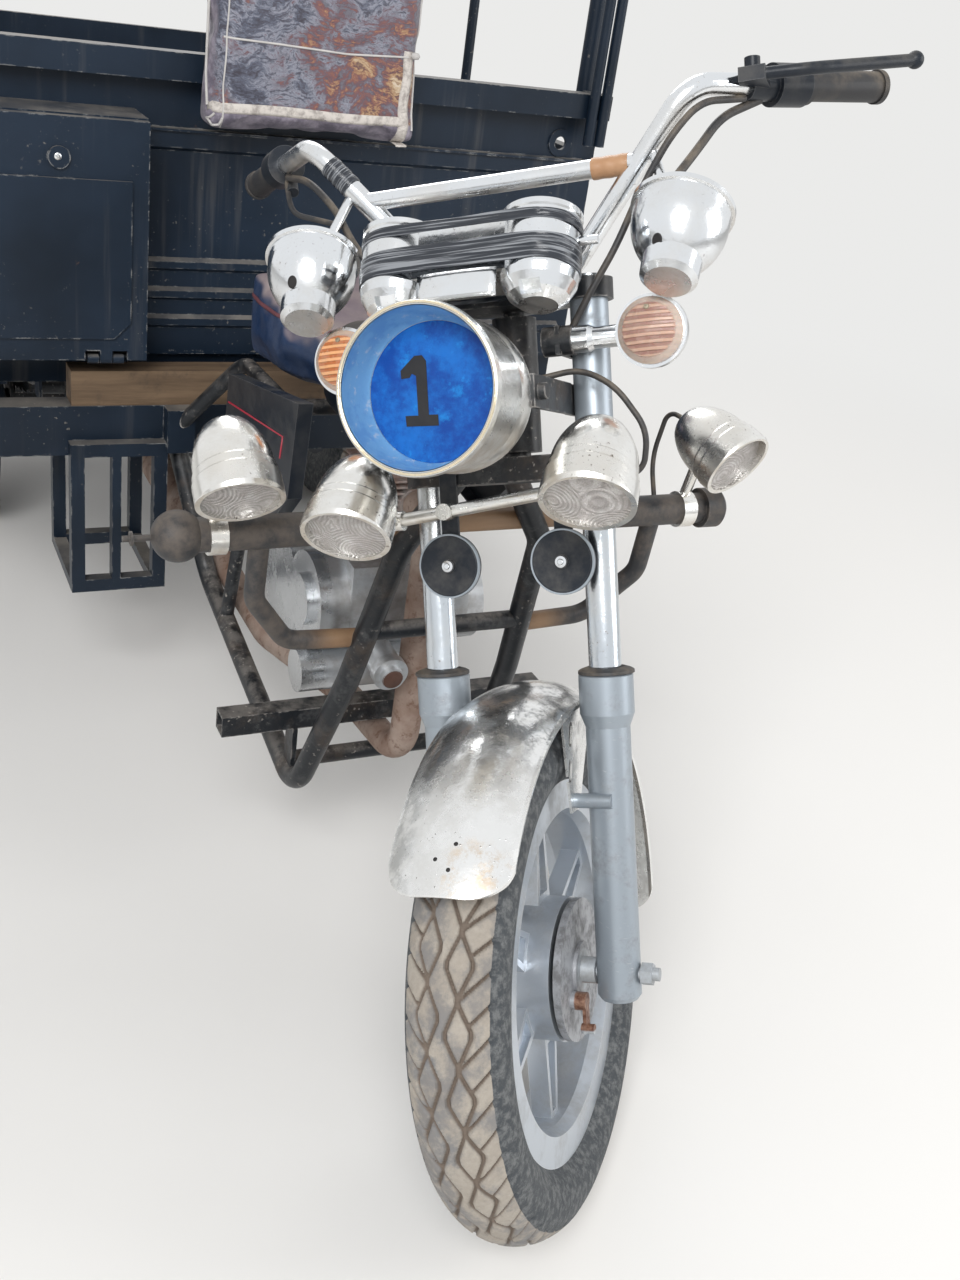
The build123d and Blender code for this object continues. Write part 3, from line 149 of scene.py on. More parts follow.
class Finish:
    def __init__(self, name, **steady):
        self.material = finishes[name] = bpy.data.materials.new(name)
        self.material.use_nodes = True
        self.tree = self.material.node_tree
        self.shader = self.tree.nodes["Principled BSDF"]
        for socket, value in steady.items():
            self.shader.inputs[socket.replace("_", " ")].default_value = value
        self.where = self.node("ShaderNodeTexCoord", output="Object")

    def node(self, kind, settings=None, inputs=None, output=0):
        made = self.tree.nodes.new(kind)
        for name, value in (settings or {}).items():
            if name == "stops":
                ramp = made.color_ramp
                while len(ramp.elements) < len(value):
                    ramp.elements.new(0.5)
                for element, (at, tone) in zip(ramp.elements, value):
                    element.position, element.color = at, (*tone, 1)
            else:
                setattr(made, name, value)
        pairs = inputs.items() if isinstance(inputs, dict) else enumerate(inputs or [])
        for name, value in pairs:
            self.plug(made.inputs[name], value)
        return Wire(self, made.outputs[output])

    def plug(self, socket, value):
        if isinstance(value, Wire):
            self.tree.links.new(value.socket, socket)
        elif hasattr(value, "__len__") and len(value) == 3 and socket.type == "RGBA":
            socket.default_value = (*value, 1)
        else:
            socket.default_value = value

    def vector(self, operation, parts, output=0):
        return self.node("ShaderNodeVectorMath", {"operation": operation}, parts, output)

    def noise(self, scale, detail=3.0, rough=0.55, stretch=None, place=None, output=0):
        place = place or self.where
        if stretch:
            place = self.vector("MULTIPLY", [place, stretch])
        sizes = {"Vector": place, "Scale": scale, "Detail": detail, "Roughness": rough}
        return self.node("ShaderNodeTexNoise", {}, sizes, output)

    def cells(self, scale, feature="F1"):
        return self.node("ShaderNodeTexVoronoi", {"feature": feature}, {"Vector": self.where, "Scale": scale})

    def mix(self, share, first, second):
        return self.node(
            "ShaderNodeMix", {"data_type": "RGBA"}, {0: share, 6: first, 7: second}, output=2)

    def part(self, axis, place=None):
        return self.node("ShaderNodeSeparateXYZ", {}, [place or self.where], output=axis)

    def facingUp(self):
        normal = self.node("ShaderNodeNewGeometry", output="Normal")
        return self.part("Z", normal)

    def edges(self, width=0.003):
        # 1 along the sharp edges of any mesh, 0 on its flats
        soft = self.node("ShaderNodeBevel", {"samples": 4}, {"Radius": width})
        flat = self.node("ShaderNodeNewGeometry", output="Normal")
        same = self.vector("DOT_PRODUCT", [soft, flat], "Value")
        return (1 - same).between(0.02, 0.22)

    def reach(self, axis, origin=forkPlace.translation):
        # Metres along an axis from a point of the vehicle
        moved = self.vector("SUBTRACT", [self.where, tuple(origin)])
        return self.vector("DOT_PRODUCT", [moved, tuple(axis)], "Value")

    def paint(self, **sockets):
        for name, value in sockets.items():
            self.plug(self.shader.inputs[name.replace("_", " ")], value)

    def dress(self, base, rough, height, depth):
        bumped = self.node("ShaderNodeBump", {}, {"Height": height, "Distance": depth})
        self.paint(Base_Color=base, Roughness=rough, Normal=bumped)


def finishOf(name):
    if name not in finishes:
        makeFinish(name)
    return finishes[name]


dustTone = (0.36, 0.29, 0.21)


def chrome(name="chrome", dustAndSheen=0.5, speckle=0.5, tone=(0.80, 0.83, 0.86), worn=0.0):
    # White sheen above, brown below where it faces down (part splashed dirt, part a painted reflection of the brown
    # ground), fine dark specks
    f = Finish(name, Metallic=1.0)
    cloud = f.noise(11, 6, 0.7).between(0.40, 0.72)
    specks = f.noise(260, 2, 0.5).between(0.64, 0.72) * f.noise(16, 4).between(0.44, 0.62)
    dirtAndGroundReflection = f.facingUp().between(0.25, -0.75) * (f.noise(22, 5, 0.7).between(0.30, 0.66) * 0.6 + 0.3)
    base = f.mix(cloud * dustAndSheen * 0.6, tone, (0.62, 0.58, 0.51))
    # Brown on what faces down: part dirt, part a painted reflection of the ground
    base = f.mix(dirtAndGroundReflection * dustAndSheen, base, (0.46, 0.38, 0.29))
    base = f.mix(specks * speckle, base, (0.12, 0.09, 0.07))
    rough = cloud * 0.14 + dirtAndGroundReflection * 0.22 + specks * 0.3 + f.noise(34, 4).between(0.3, 0.7) * 0.06 + 0.10 + worn
    f.dress(base, rough, f.noise(16, 3) * 1.0 + f.noise(300, 2) * 0.1, 0.0012)


def fenderChrome():
    # Bright and dusty low in front, a mottled dark painted reflection above, a brown smear at the left of the lip, a
    # painted highlight along the bead
    f = Finish("fenderChrome", Metallic=0.9)
    height = f.reach(forkUp)
    smearSpot = forkPlace @ Vector((0.038, -0.292, 0.198))
    away = f.vector("DISTANCE", [f.where, tuple(smearSpot)], "Value")
    reflectedDarkAbove = (height + f.noise(18, 4, 0.6) * 0.10).between(0.300, 0.385)
    edge = f.reach(forkOut).between(-0.028, -0.052) * f.noise(40, 5, 0.7).between(0.36, 0.58)
    cloud = f.noise(15, 6, 0.72).between(0.40, 0.66)
    blotsOfDirtAndReflection = f.noise(34, 6, 0.75).between(0.46, 0.64)
    specks = f.cells(150).between(0.15, 0.07) * f.noise(24, 3).between(0.48, 0.60)
    base = f.mix(cloud * 0.42, (0.84, 0.85, 0.85), (0.56, 0.55, 0.52))
    base = f.mix(edge * 0.55, base, (0.30, 0.31, 0.31))
    # Mottled dark above: a painted reflection of dark things
    base = f.mix(reflectedDarkAbove * blotsOfDirtAndReflection * 0.75, base, (0.10, 0.105, 0.11))
    base = f.mix(away.between(0.050, 0.026) * blotsOfDirtAndReflection * 0.7, base, (0.56, 0.42, 0.27))
    base = f.mix(specks * 0.7, base, (0.08, 0.07, 0.06))
    # Near-white along the bead: a painted highlight
    base = f.mix(f.edges(0.005) * 0.7, base, (0.93, 0.92, 0.88))
    rough = cloud * 0.14 + (1 - reflectedDarkAbove) * 0.10 + blotsOfDirtAndReflection * 0.12 + 0.08
    f.dress(base, rough, f.noise(40, 5, 0.7) * 0.7 + specks * 0.4, 0.0009)


def silverPaint():
    f = Finish("silverPaint", Metallic=0.55)
    grain = f.noise(900, 2)
    grime = f.noise(26, 5, 0.7).between(0.50, 0.72)
    base = f.mix(grime * 0.45, (0.31, 0.35, 0.39), (0.19, 0.185, 0.18))
    scratches = f.noise(55, 3, 0.6, (1, 1, 8)).between(0.66, 0.72)
    base = f.mix(scratches * 0.4, base, (0.60, 0.61, 0.62))
    f.dress(base, grain * 0.10 + grime * 0.25 + 0.32, grain * 0.15 + grime * 0.3, 0.0003)


def wheelAlloy():
    f = Finish("wheelAlloy", Metallic=0.75)
    dustAndSheen = f.noise(16, 6, 0.68).between(0.45, 0.70)
    base = f.mix(dustAndSheen * 0.5, (0.50, 0.54, 0.59), (0.34, 0.33, 0.31))
    base = f.mix(f.edges(0.0025) * 0.5, base, (0.80, 0.80, 0.79))
    f.dress(base, dustAndSheen * 0.25 + f.noise(400, 2) * 0.08 + 0.26, f.noise(350, 2) * 0.3 + dustAndSheen * 0.3, 0.0003)


def blackPaint(name="blackPaint", tone=(0.004, 0.009, 0.017), light=(0.010, 0.020, 0.037), dustAndSheen=1.0, rust=0.3):
    # Blue-black paint: thin dust on what faces up, pale runs down the sides, bare chipped edges
    f = Finish(name, Specular_IOR_Level=0.28)
    patch = f.noise(2.6, 4, 0.6).between(0.30, 0.70)
    film = f.facingUp().between(0.35, 0.95) * (f.noise(9, 5, 0.65).between(0.28, 0.72) * 0.45 + 0.12)
    runs = f.noise(30, 4, 0.6, (1, 1, 0.05)).between(0.54, 0.78) * f.noise(2.4, 3).between(0.40, 0.66)
    flecks = f.noise(130, 3, 0.6).between(0.655, 0.70) * f.noise(7, 4, 0.6).between(0.47, 0.66)
    layer = (film + runs * 0.16 + flecks * 0.45) * dustAndSheen
    base = f.mix(patch, tone, light)
    base = f.mix(layer.low(1), base, (0.33, 0.30, 0.26))
    chipped = f.noise(38, 5, 0.7)
    worn = f.edges(0.004) * chipped.between(0.50, 0.60)
    base = f.mix(worn * 0.8, base, (0.36, 0.36, 0.35))
    spots = f.noise(9, 6, 0.75).between(0.66, 0.73) * f.noise(70, 4).between(0.42, 0.58)
    base = f.mix(spots * rust, base, (0.20, 0.10, 0.05))
    f.dress(base, layer * 0.4 + patch * 0.10 + 0.34, f.noise(160, 3) * 0.12 + spots * 0.5 + worn * 0.3, 0.0007)


def frameBlack():
    # Cradle and brackets: black under scuffs of grey dust and brown dirt
    f = Finish("frameBlack", Specular_IOR_Level=0.35)
    scuff = f.noise(26, 6, 0.75).between(0.50, 0.66)
    dirt = f.noise(11, 6, 0.7).between(0.50, 0.70)
    fleck = f.noise(120, 3, 0.6).between(0.62, 0.68) * f.noise(9, 4).between(0.42, 0.60)
    film = f.facingUp().between(0.2, 0.9) * f.noise(30, 5, 0.7).between(0.34, 0.62)
    base = f.mix(scuff * 0.30, (0.009, 0.011, 0.014), (0.12, 0.12, 0.12))
    base = f.mix(dirt * 0.32, base, (0.115, 0.080, 0.055))
    base = f.mix((film * 0.40 + fleck * 0.6).low(1), base, (0.34, 0.31, 0.28))
    base = f.mix(f.edges(0.004) * f.noise(44, 4, 0.7).between(0.45, 0.58) * 0.8, base, (0.38, 0.36, 0.34))
    f.dress(base, scuff * 0.2 + dirt * 0.2 + film * 0.1 + 0.36, f.noise(150, 4) * 0.3 + dirt * 0.4, 0.0008)


def barPaint():
    # Crash bar: black tape and paint gone brown with dust, bare wood-brown in the middle
    f = Finish("barPaint")
    middle = 1 - f.part("X").size().between(0.155, 0.21)
    grime = f.noise(24, 6, 0.7).between(0.36, 0.66)
    black = f.mix(grime * 0.55, (0.020, 0.021, 0.024), (0.16, 0.13, 0.105))
    brown = f.mix(f.noise(30, 5, 0.65, (0.15, 1, 1)), (0.20, 0.10, 0.045), (0.42, 0.27, 0.15))
    worn = f.edges(0.004) * f.noise(40, 4, 0.7).between(0.44, 0.58)
    base = f.mix(worn * 0.5, f.mix(middle * 0.75, black, brown), (0.30, 0.27, 0.24))
    f.dress(base, grime * 0.25 + 0.45, f.noise(120, 4, 0.6, (0.3, 1, 1)) * 0.5 + grime * 0.3, 0.0007)


def engineMetal():
    f = Finish("engineMetal", Metallic=0.85)
    grime = f.noise(17, 6, 0.7).between(0.42, 0.66)
    oil = f.noise(7, 4, 0.6).between(0.50, 0.68)
    outer = f.part("X").between(-0.115, -0.130)
    base = f.mix(grime * (0.5 - outer * 0.35), (0.60, 0.62, 0.64), (0.30, 0.27, 0.24))
    base = f.mix(oil * (0.65 - outer * 0.50), base, (0.075, 0.062, 0.052))
    base = f.mix(outer * f.part("Z").between(0.47, 0.36) * 0.5, base, (0.16, 0.15, 0.14))
    f.dress(base, grime * 0.22 - outer * 0.14 + 0.32, f.noise(420, 3) * 0.25 + grime * 0.3, 0.0005)


def axleMetal():
    # Silver spindle and nuts, dark drum plate, rusty cam arm
    f = Finish("axleMetal", Metallic=0.35)
    out, back, up = (f.reach(axis) for axis in (forkOut, forkBack, forkUp))
    centre = (back * back + up * up) ** 0.5
    arm = ((back + 0.036) ** 2 + (up + 0.027) ** 2) ** 0.5
    grime = f.noise(40, 6, 0.7).between(0.38, 0.66)
    silver = f.mix(grime * 0.5, (0.42, 0.45, 0.48), (0.24, 0.23, 0.21))
    plate = f.mix(grime, (0.33, 0.34, 0.36), (0.15, 0.15, 0.155))
    base = f.mix(centre.between(0.024, 0.028) * out.between(0.072, 0.066) * out.between(-0.02, 0.0), silver, plate)
    rust = f.mix(f.noise(110, 5, 0.7).between(0.35, 0.65), (0.10, 0.036, 0.020), (0.27, 0.155, 0.105))
    base = f.mix(arm.between(0.036, 0.033) * up.between(-0.010, -0.016) * out.between(0.0595, 0.0615), base, rust)
    f.dress(base, grime * 0.25 + 0.42, f.noise(240, 4) * 0.4 + grime * 0.4, 0.0006)


def rustySteel():
    f = Finish("rustySteel", Metallic=0.15)
    scale = f.noise(60, 6, 0.72)
    big = f.noise(12, 5, 0.6).between(0.35, 0.68)
    base = f.mix(big, (0.22, 0.145, 0.110), (0.36, 0.285, 0.24))
    base = f.mix(scale.between(0.52, 0.66) * 0.7, base, (0.13, 0.062, 0.038))
    f.dress(base, scale * 0.2 + 0.66, scale + big * 0.3, 0.0012)


def rubber():
    f = Finish("rubber")
    dustAndSheen = f.noise(20, 5, 0.65).between(0.40, 0.75) * (f.facingUp().between(-0.2, 0.9) * 0.6 + 0.2)
    f.dress(f.mix(dustAndSheen * 0.55, (0.022, 0.022, 0.024), dustTone), dustAndSheen * 0.2 + 0.52, f.noise(500, 2) * 0.4, 0.0003)


def tyreRubber():
    f = Finish("tyreRubber")
    groove = f.node("ShaderNodeAttribute", {"attribute_name": "groove"}, output="Fac")
    tread = f.node("ShaderNodeAttribute", {"attribute_name": "tread"}, output="Fac")
    patch = f.noise(13, 6, 0.7).between(0.34, 0.64)
    fine = f.noise(170, 5, 0.75)
    grey = f.noise(20, 6, 0.70).between(0.42, 0.60)
    wall = f.mix(f.noise(90, 6, 0.75).between(0.42, 0.66), (0.040, 0.046, 0.052), (0.135, 0.140, 0.142))
    tan = f.mix(fine, (0.24, 0.215, 0.185), (0.44, 0.40, 0.345))
    tan = f.mix(grey * 0.85, tan, (0.15, 0.155, 0.165))
    block = f.mix(patch * 0.35, tan, (0.24, 0.205, 0.17))
    tread = (tread * 1.25 - f.noise(70, 4, 0.7).between(0.45, 0.65) * 0.4).between(0.3, 0.8)
    # Darker brown in the grooves: painted shade
    grooveShade = f.mix(fine, (0.085, 0.068, 0.056), (0.20, 0.155, 0.12))
    base = f.mix(tread, wall, f.mix(groove.between(0.25, 0.85), block, grooveShade))
    f.dress(base, patch * 0.1 + 0.72, fine * 0.7 + patch * 0.3 - groove * 0.4, 0.0009)


def plateBlue():
    f = Finish("plateBlue", Specular_IOR_Level=0.3)
    blotch = f.noise(30, 6, 0.72).between(0.36, 0.66)
    base = f.mix(blotch, (0.001, 0.050, 0.27), (0.003, 0.125, 0.45))
    light = f.noise(48, 5, 0.7).between(0.58, 0.70)
    base = f.mix(light * 0.5, base, (0.008, 0.25, 0.64))
    f.dress(base, blotch * 0.15 + 0.34, f.noise(110, 5), 0.0004)


def clearLens():
    # Pressed reflector glass: sets of fine arcs and a crackle, silvery behind
    f = Finish("clearLens", IOR=1.46, Metallic=0.35)
    film = f.noise(60, 4, 0.6).between(0.38, 0.68)
    rings = (f.cells(20) * 75).sine()
    grain = f.cells(420, "DISTANCE_TO_EDGE").between(0.0, 0.12)
    base = f.mix(film, (0.50, 0.47, 0.45), (0.66, 0.64, 0.62))
    base = f.mix((1 - grain) * 0.3 + rings.between(0.0, 0.9) * 0.4, base, (0.27, 0.245, 0.23))
    f.dress(base, film * 0.15 + 0.12, rings * 0.5 + grain * 0.5, 0.0009)


def peachLens():
    # Faded amber behind a milky rim, ribbed across, the ribs striped with painted shade and light
    f = Finish("peachLens", IOR=1.46, Subsurface_Weight=0.15, Subsurface_Scale=0.01)
    up = f.reach(forkUp, forkPlace.translation + forkUp * 0.759)
    out = f.reach(forkOut)
    side = out.size() - 0.189
    away = (side * side + up * up) ** 0.5
    ribAndShade = (up * (2 * math.pi / 0.0078)).sine().between(-0.6, 0.6)
    left = out.between(-0.05, 0.05)
    # The ribs' darker and lighter stripes are painted shade and light
    pale = f.mix(ribAndShade, (0.29, 0.155, 0.125), (0.50, 0.32, 0.24))
    bright = f.mix(ribAndShade, (0.42, 0.13, 0.04), (0.74, 0.37, 0.17))
    base = f.mix(left, bright, pale)
    film = f.noise(60, 4, 0.6).between(0.4, 0.7)
    base = f.mix(film * 0.2, base, (0.52, 0.42, 0.35))
    rim = away.between(0.0285, 0.0315)
    f.dress(f.mix(rim * 0.8, base, (0.50, 0.42, 0.36)), film * 0.2 + 0.22, ribAndShade * (1 - rim), 0.0012)


def blackPlastic():
    f = Finish("blackPlastic", Specular_IOR_Level=0.25)
    dustAndSheen = f.noise(24, 5, 0.65).between(0.38, 0.70) * (f.facingUp().between(-0.4, 0.9) * 0.6 + 0.10)
    base = f.mix(dustAndSheen * 0.38, (0.013, 0.017, 0.024), (0.25, 0.23, 0.20))
    base = f.mix(f.edges(0.002) * 0.25, base, (0.30, 0.30, 0.30))
    f.dress(base, dustAndSheen * 0.3 + 0.34, f.noise(300, 2) * 0.3, 0.0003)


def seatVinyl():
    # Blue sides under a dusty pink-brown top with a red welt between them
    f = Finish("seatVinyl", Specular_IOR_Level=0.3)
    top = f.facingUp().between(0.25, 0.80)
    dustAndSheen = f.noise(14, 6, 0.7).between(0.34, 0.66)
    fade = f.noise(26, 4)
    side = f.mix(fade, (0.006, 0.018, 0.055), (0.016, 0.042, 0.110))
    cover = f.mix(fade, (0.16, 0.125, 0.15), (0.28, 0.23, 0.25))
    cover = f.mix(dustAndSheen * 0.5, cover, (0.38, 0.32, 0.29))
    base = f.mix(top, f.mix(dustAndSheen * 0.09, side, (0.28, 0.28, 0.28)), cover)
    f.dress(base, dustAndSheen * 0.15 + 0.42, f.cells(420) * 0.4 + f.noise(50, 4) * 0.6, 0.0007)


def cushionPrint():
    # Own motif: soft brushed clouds, slate and plum at one side, gold and brick low at the other
    f = Finish("cushionPrint", Sheen_Weight=0.1)
    warp = f.noise(9, 5, 0.5, output="Color")
    bent = f.vector("MULTIPLY_ADD", [warp, (0.16, 0.16, 0.12), f.where])
    shapes = f.noise(17, 3, 0.5, place=bent)
    strokes = f.noise(120, 7, 0.75, (0.35, 1.0, 1.5), bent)
    warm = f.part("X").between(-0.14, 0.10) * f.part("Z").between(1.36, 1.19)
    pick = (shapes - 0.5) * 1.3 + (strokes - 0.5) * 1.1 + warm * 0.34 + 0.24
    stops = [(0.0, (0.026, 0.026, 0.042)), (0.22, (0.095, 0.105, 0.145)), (0.36, (0.25, 0.26, 0.31)),
             (0.46, (0.105, 0.072, 0.095)), (0.58, (0.20, 0.075, 0.060)), (0.70, (0.36, 0.22, 0.115)),
             (0.82, (0.47, 0.36, 0.24)), (1.0, (0.66, 0.62, 0.56))]
    picture = f.node("ShaderNodeValToRGB", {"stops": stops}, [pick])
    picture = f.mix(strokes.between(0.52, 0.40) * 0.55, picture, (0.045, 0.036, 0.048))
    skirt = f.part("Z").between(1.131, 1.127)
    skirt = skirt.top(f.part("Y").between(-0.212, -0.200))
    plum = f.mix(f.noise(34, 5, 0.7).between(0.35, 0.65), (0.10, 0.088, 0.120), (0.28, 0.25, 0.30))
    base = f.mix(skirt, picture, plum)
    folds = f.noise(20, 5, 0.6, (0.6, 1, 1.8))
    f.dress(base, f.noise(50, 3) * 0.2 + 0.36, folds * 1.0 + f.noise(800, 2) * 0.06, 0.0035)


def timber():
    # Wood grain; its brown tones are darkened as painted shade
    f = Finish("timber")
    grain = f.noise(26, 6, 0.65, (0.10, 1, 1))
    base = f.mix(grain.between(0.30, 0.72), (0.060, 0.036, 0.019), (0.17, 0.112, 0.066))
    stain = f.noise(8, 5, 0.7).between(0.52, 0.70)
    f.dress(f.mix(stain * 0.7, base, (0.030, 0.024, 0.020)), grain * 0.2 + 0.66, grain, 0.0012)


def tapeBlack():
    # Stretched tape: long fine creases that catch the light
    f = Finish("tapeBlack")
    crease = f.noise(260, 3, 0.5, (0.035, 0.08, 1.6))
    # The pale streaks along the creases are a painted highlight
    dustAndSheen = crease.between(0.47, 0.63)
    base = f.mix(dustAndSheen * 0.55, (0.020, 0.024, 0.032), (0.40, 0.42, 0.45))
    f.dress(base, dustAndSheen * 0.2 + 0.20, crease, 0.0012)


def hoodBlue():
    # Inside of the hood: deep blue above, paler blue below
    f = Finish("hoodBlue", Metallic=0.1)
    drop = f.reach(forkUp, forkPlace @ Vector((0, -0.26, 0.694)))
    wear = f.noise(34, 6, 0.7)
    share = (drop.between(0.07, -0.07) * 0.75 + wear.between(0.40, 0.66) * 0.5).low(1)
    base = f.mix(share, (0.008, 0.105, 0.42), (0.17, 0.37, 0.60))
    base = f.mix(f.noise(80, 5, 0.75).between(0.56, 0.66) * 0.55, base, (0.50, 0.54, 0.60))
    f.dress(base, wear * 0.2 + 0.28, wear, 0.0006)


def plain(name, noise, span, first, second, rough, grain=None, **steady):
    # Two tones and the roughness by one noise
    f = Finish(name, **steady)
    wear = f.noise(*noise)
    if span:
        wear = wear.between(*span)
    f.paint(Base_Color=f.mix(wear, first, second), Roughness=wear * rough[0] + rough[1])
    if grain:
        f.paint(Normal=f.node("ShaderNodeBump", {}, {"Height": f.noise(*grain[1:]), "Distance": grain[0]}))


def tint(name, tone, rough):
    darker = tuple(c * 0.6 for c in tone)
    plain(name, (60, 4, 0.6), None, tone, darker, (0.2, rough))


made = (
    chrome, fenderChrome, silverPaint, wheelAlloy, blackPaint, frameBlack, barPaint, engineMetal, axleMetal,
    rustySteel, rubber, tyreRubber, plateBlue, clearLens, peachLens, blackPlastic, seatVinyl, cushionPrint,
    timber, tapeBlack, hoodBlue)
makers = {maker.__name__: maker for maker in made}
chromes = {  # dust and painted reflection below, speckle, tone, added roughness
    "dullChrome": (0.9, 0.7, (0.74, 0.75, 0.74), 0.10), "lampChrome": (0.75, 0.9, (0.84, 0.84, 0.82), 0.05),
    "rodChrome": (0.7, 0.8, (0.62, 0.67, 0.72), 0.04), "goldRim": (0.5, 0.3, (0.86, 0.76, 0.56)),
}
plains = {  # noise, its span, two tones, roughness, bump
    "finMetal": (
        (30, 6, 0.7), (0.38, 0.64), (0.46, 0.42, 0.40), (0.33, 0.21, 0.17), (0.2, 0.5), (0.0005, 300, 3)),
    "redLens": ((30, 4, 0.6), (0.4, 0.7), (0.42, 0.02, 0.015), (0.396, 0.076, 0.057), (0.2, 0.15)),
    "paleTape": (
        (70, 5, 0.7), (0.42, 0.68), (0.58, 0.54, 0.50), (0.30, 0.27, 0.25), (0.1, 0.6), (0.0003, 700, 2)),
    "tapeBrown": (
        (60, 4, 0.6), None, (0.34, 0.17, 0.080), (0.50, 0.30, 0.17), (0.2, 0.30), (0.0005, 140, 3, 0.6)),
    "brass": ((80, 4, 0.65), None, (0.50, 0.44, 0.33), (0.30, 0.26, 0.20), (0.3, 0.25)),
}
steady = {
    "finMetal": {"Metallic": 0.4}, "redLens": {"IOR": 1.46, "Transmission_Weight": 0.2}, "brass": {"Metallic": 0.9},
}
tints = {  # tone, roughness
    "numeralBlack": ((0.012, 0.011, 0.012), 0.62), "holeShade": ((0.012, 0.010, 0.010), 0.6),
    "string": ((0.62, 0.60, 0.58), 0.6), "capRust": ((0.080, 0.034, 0.022), 0.6),
    "welt": ((0.17, 0.060, 0.070), 0.4), "pinstripe": ((0.42, 0.025, 0.05), 0.3),
}


def makeFinish(name):
    if name in chromes:
        chrome(name, *chromes[name])
    elif name in plains:
        plain(name, *plains[name], **steady.get(name, {}))
    elif name in tints:
        tint(name, *tints[name])
    else:
        makers[name]()


nodeFinish = {
    "frameBlack": "main_frame footrest rear_axle leaf_springs fork_clamps",
    "blackPaint": "chassis_rails fuel_tank rear_mudguards bed_floor bed_front_wall bed_sides locker_box "
                  "rear_bumper rear_rim_left rear_rim_right tailgate locker_door",
    "barPaint": "crash_bar", "lampChrome": "bullet_lamps fork_lamps", "clearLens": "bullet_lenses fork_lamp_lenses",
    "seatVinyl": "seat", "blackPlastic": "side_covers hand_controls horns", "engineMetal": "crankcase",
    "finMetal": "cylinder", "rustySteel": "exhaust", "timber": "timber_beam", "cushionPrint": "backrest_cushion",
    "redLens": "tail_lamps", "axleMetal": "front_axle", "silverPaint": "fork_sliders fork_covers",
    "rodChrome": "fork_stanchions", "fenderChrome": "front_fender", "dullChrome": "headlight_shell light_bar",
    "chrome": "handlebar signal_bodies gauge_pod speaker_pods", "rubber": "grips control_cables lamp_cables",
    "plateBlue": "headlight_plate", "peachLens": "signal_lenses", "wheelAlloy": "front_rim",
    "tyreRubber": "front_tyre rear_tyre_left rear_tyre_right",
}

for name, nodes in nodeFinish.items():
    for node in nodes.split():
        for slot in frame["nodes"][node].material_slots:
            slot.material = finishOf(name)
print("finishes on the frame's nodes")


# Makers of meshes


def addObject(name, data, finish, body, place=None, smooth=38.0):
    piece = bpy.data.objects.new(name, data)
    bpy.context.scene.collection.objects.link(piece)
    if place is not None:
        piece.matrix_world = place
    data.materials.append(finishOf(finish))
    if smooth:
        data.shade_smooth()
        data.set_sharp_from_angle(angle=math.radians(smooth))
    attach(piece, body)
    return piece


def addMesh(name, verts, faces, finish, body, place=None, smooth=38.0, weld=False):
    mesh = bpy.data.meshes.new(name)
    mesh.from_pydata([tuple(v) for v in verts], [], faces)
    mesh.update()
    if weld:
        bm = bmesh.new()
        bm.from_mesh(mesh)
        bmesh.ops.remove_doubles(bm, verts=bm.verts, dist=1e-6)
        bmesh.ops.recalc_face_normals(bm, faces=bm.faces)
        bm.to_mesh(mesh)
        bm.free()
    return addObject(name, mesh, finish, body, place, smooth)


def lathe(name, profile, finish, body, place, steps=64, smooth=38.0):
    # profile: (radius, height) points about the place's Z axis
    verts, faces = [], []
    count = len(profile)
    for step in range(steps):
        angle = 2 * math.pi * step / steps
        for radius, height in profile:
            verts.append((radius * math.cos(angle), radius * math.sin(angle), height))
    for step in range(steps):
        after = (step + 1) % steps
        for index in range(count - 1):
            a, b = step * count + index, after * count + index
            faces.append((a, b, b + 1, a + 1))
    return addMesh(name, verts, faces, finish, body, place, smooth, True)


def tube(name, points, radius, finish, body, curved=True):
    data = bpy.data.curves.new(name, "CURVE")
    data.dimensions = "3D"
    data.bevel_depth, data.bevel_resolution, data.use_fill_caps = radius, 4, True
    data.resolution_u = 8
    spline = data.splines.new("NURBS" if curved else "POLY")
    spline.points.add(len(points) - 1)
    for point, co in zip(spline.points, points):
        point.co = (*co, 1)
    if curved:
        spline.order_u = min(4, len(points))
        spline.use_endpoint_u = True
    return addObject(name, data, finish, body, None, None)


def along(origin, axis, up=(0, 0, 1)):
    # A place whose Z runs along the axis
    z = Vector(axis).normalized()
    x = Vector(up).cross(z)
    if x.length < 1e-4:
        x = Vector((1, 0, 0)).cross(z)
    x.normalize()
    return placeOf(Vector(origin), x, z.cross(x), z)


# Tyres: a grid round the wheel whose grooves sink below the CAD surface

frontTyre = {
    "radius": 0.322, "crown": 0.064, "tyreHalf": 0.057, "rimHalf": 0.040, "flange": 0.234,
    "pitches": 56, "groove": 0.0050, "width": 0.0050, "around": 960, "across": 60, "walls": 9,
}
rearTyre = {
    "radius": 0.284, "flat": 0.042, "shoulder": 0.058, "drop": 0.012, "tyreHalf": 0.067, "rimHalf": 0.052,
    "flange": 0.166, "pitches": 40, "groove": 0.007, "width": 0.008, "around": 480, "across": 30, "walls": 7,
}


def arcThrough(start, middle, end, count):
    # Points along the circle through three (x, r) points
    (ax, ay), (bx, by), (cx, cy) = start, middle, end
    d = 2 * (ax * (by - cy) + bx * (cy - ay) + cx * (ay - by))
    ux = ((ax**2 + ay**2) * (by - cy) + (bx**2 + by**2) * (cy - ay) + (cx**2 + cy**2) * (ay - by)) / d
    uy = ((ax**2 + ay**2) * (cx - bx) + (bx**2 + by**2) * (ax - cx) + (cx**2 + cy**2) * (bx - ax)) / d
    first, last = math.atan2(ay - uy, ax - ux), math.atan2(cy - uy, cx - ux)
    radius = math.hypot(ax - ux, ay - uy)
    steps = [first + (last - first) * i / (count - 1) for i in range(count)]
    return [(ux + radius * math.cos(t), uy + radius * math.sin(t)) for t in steps]


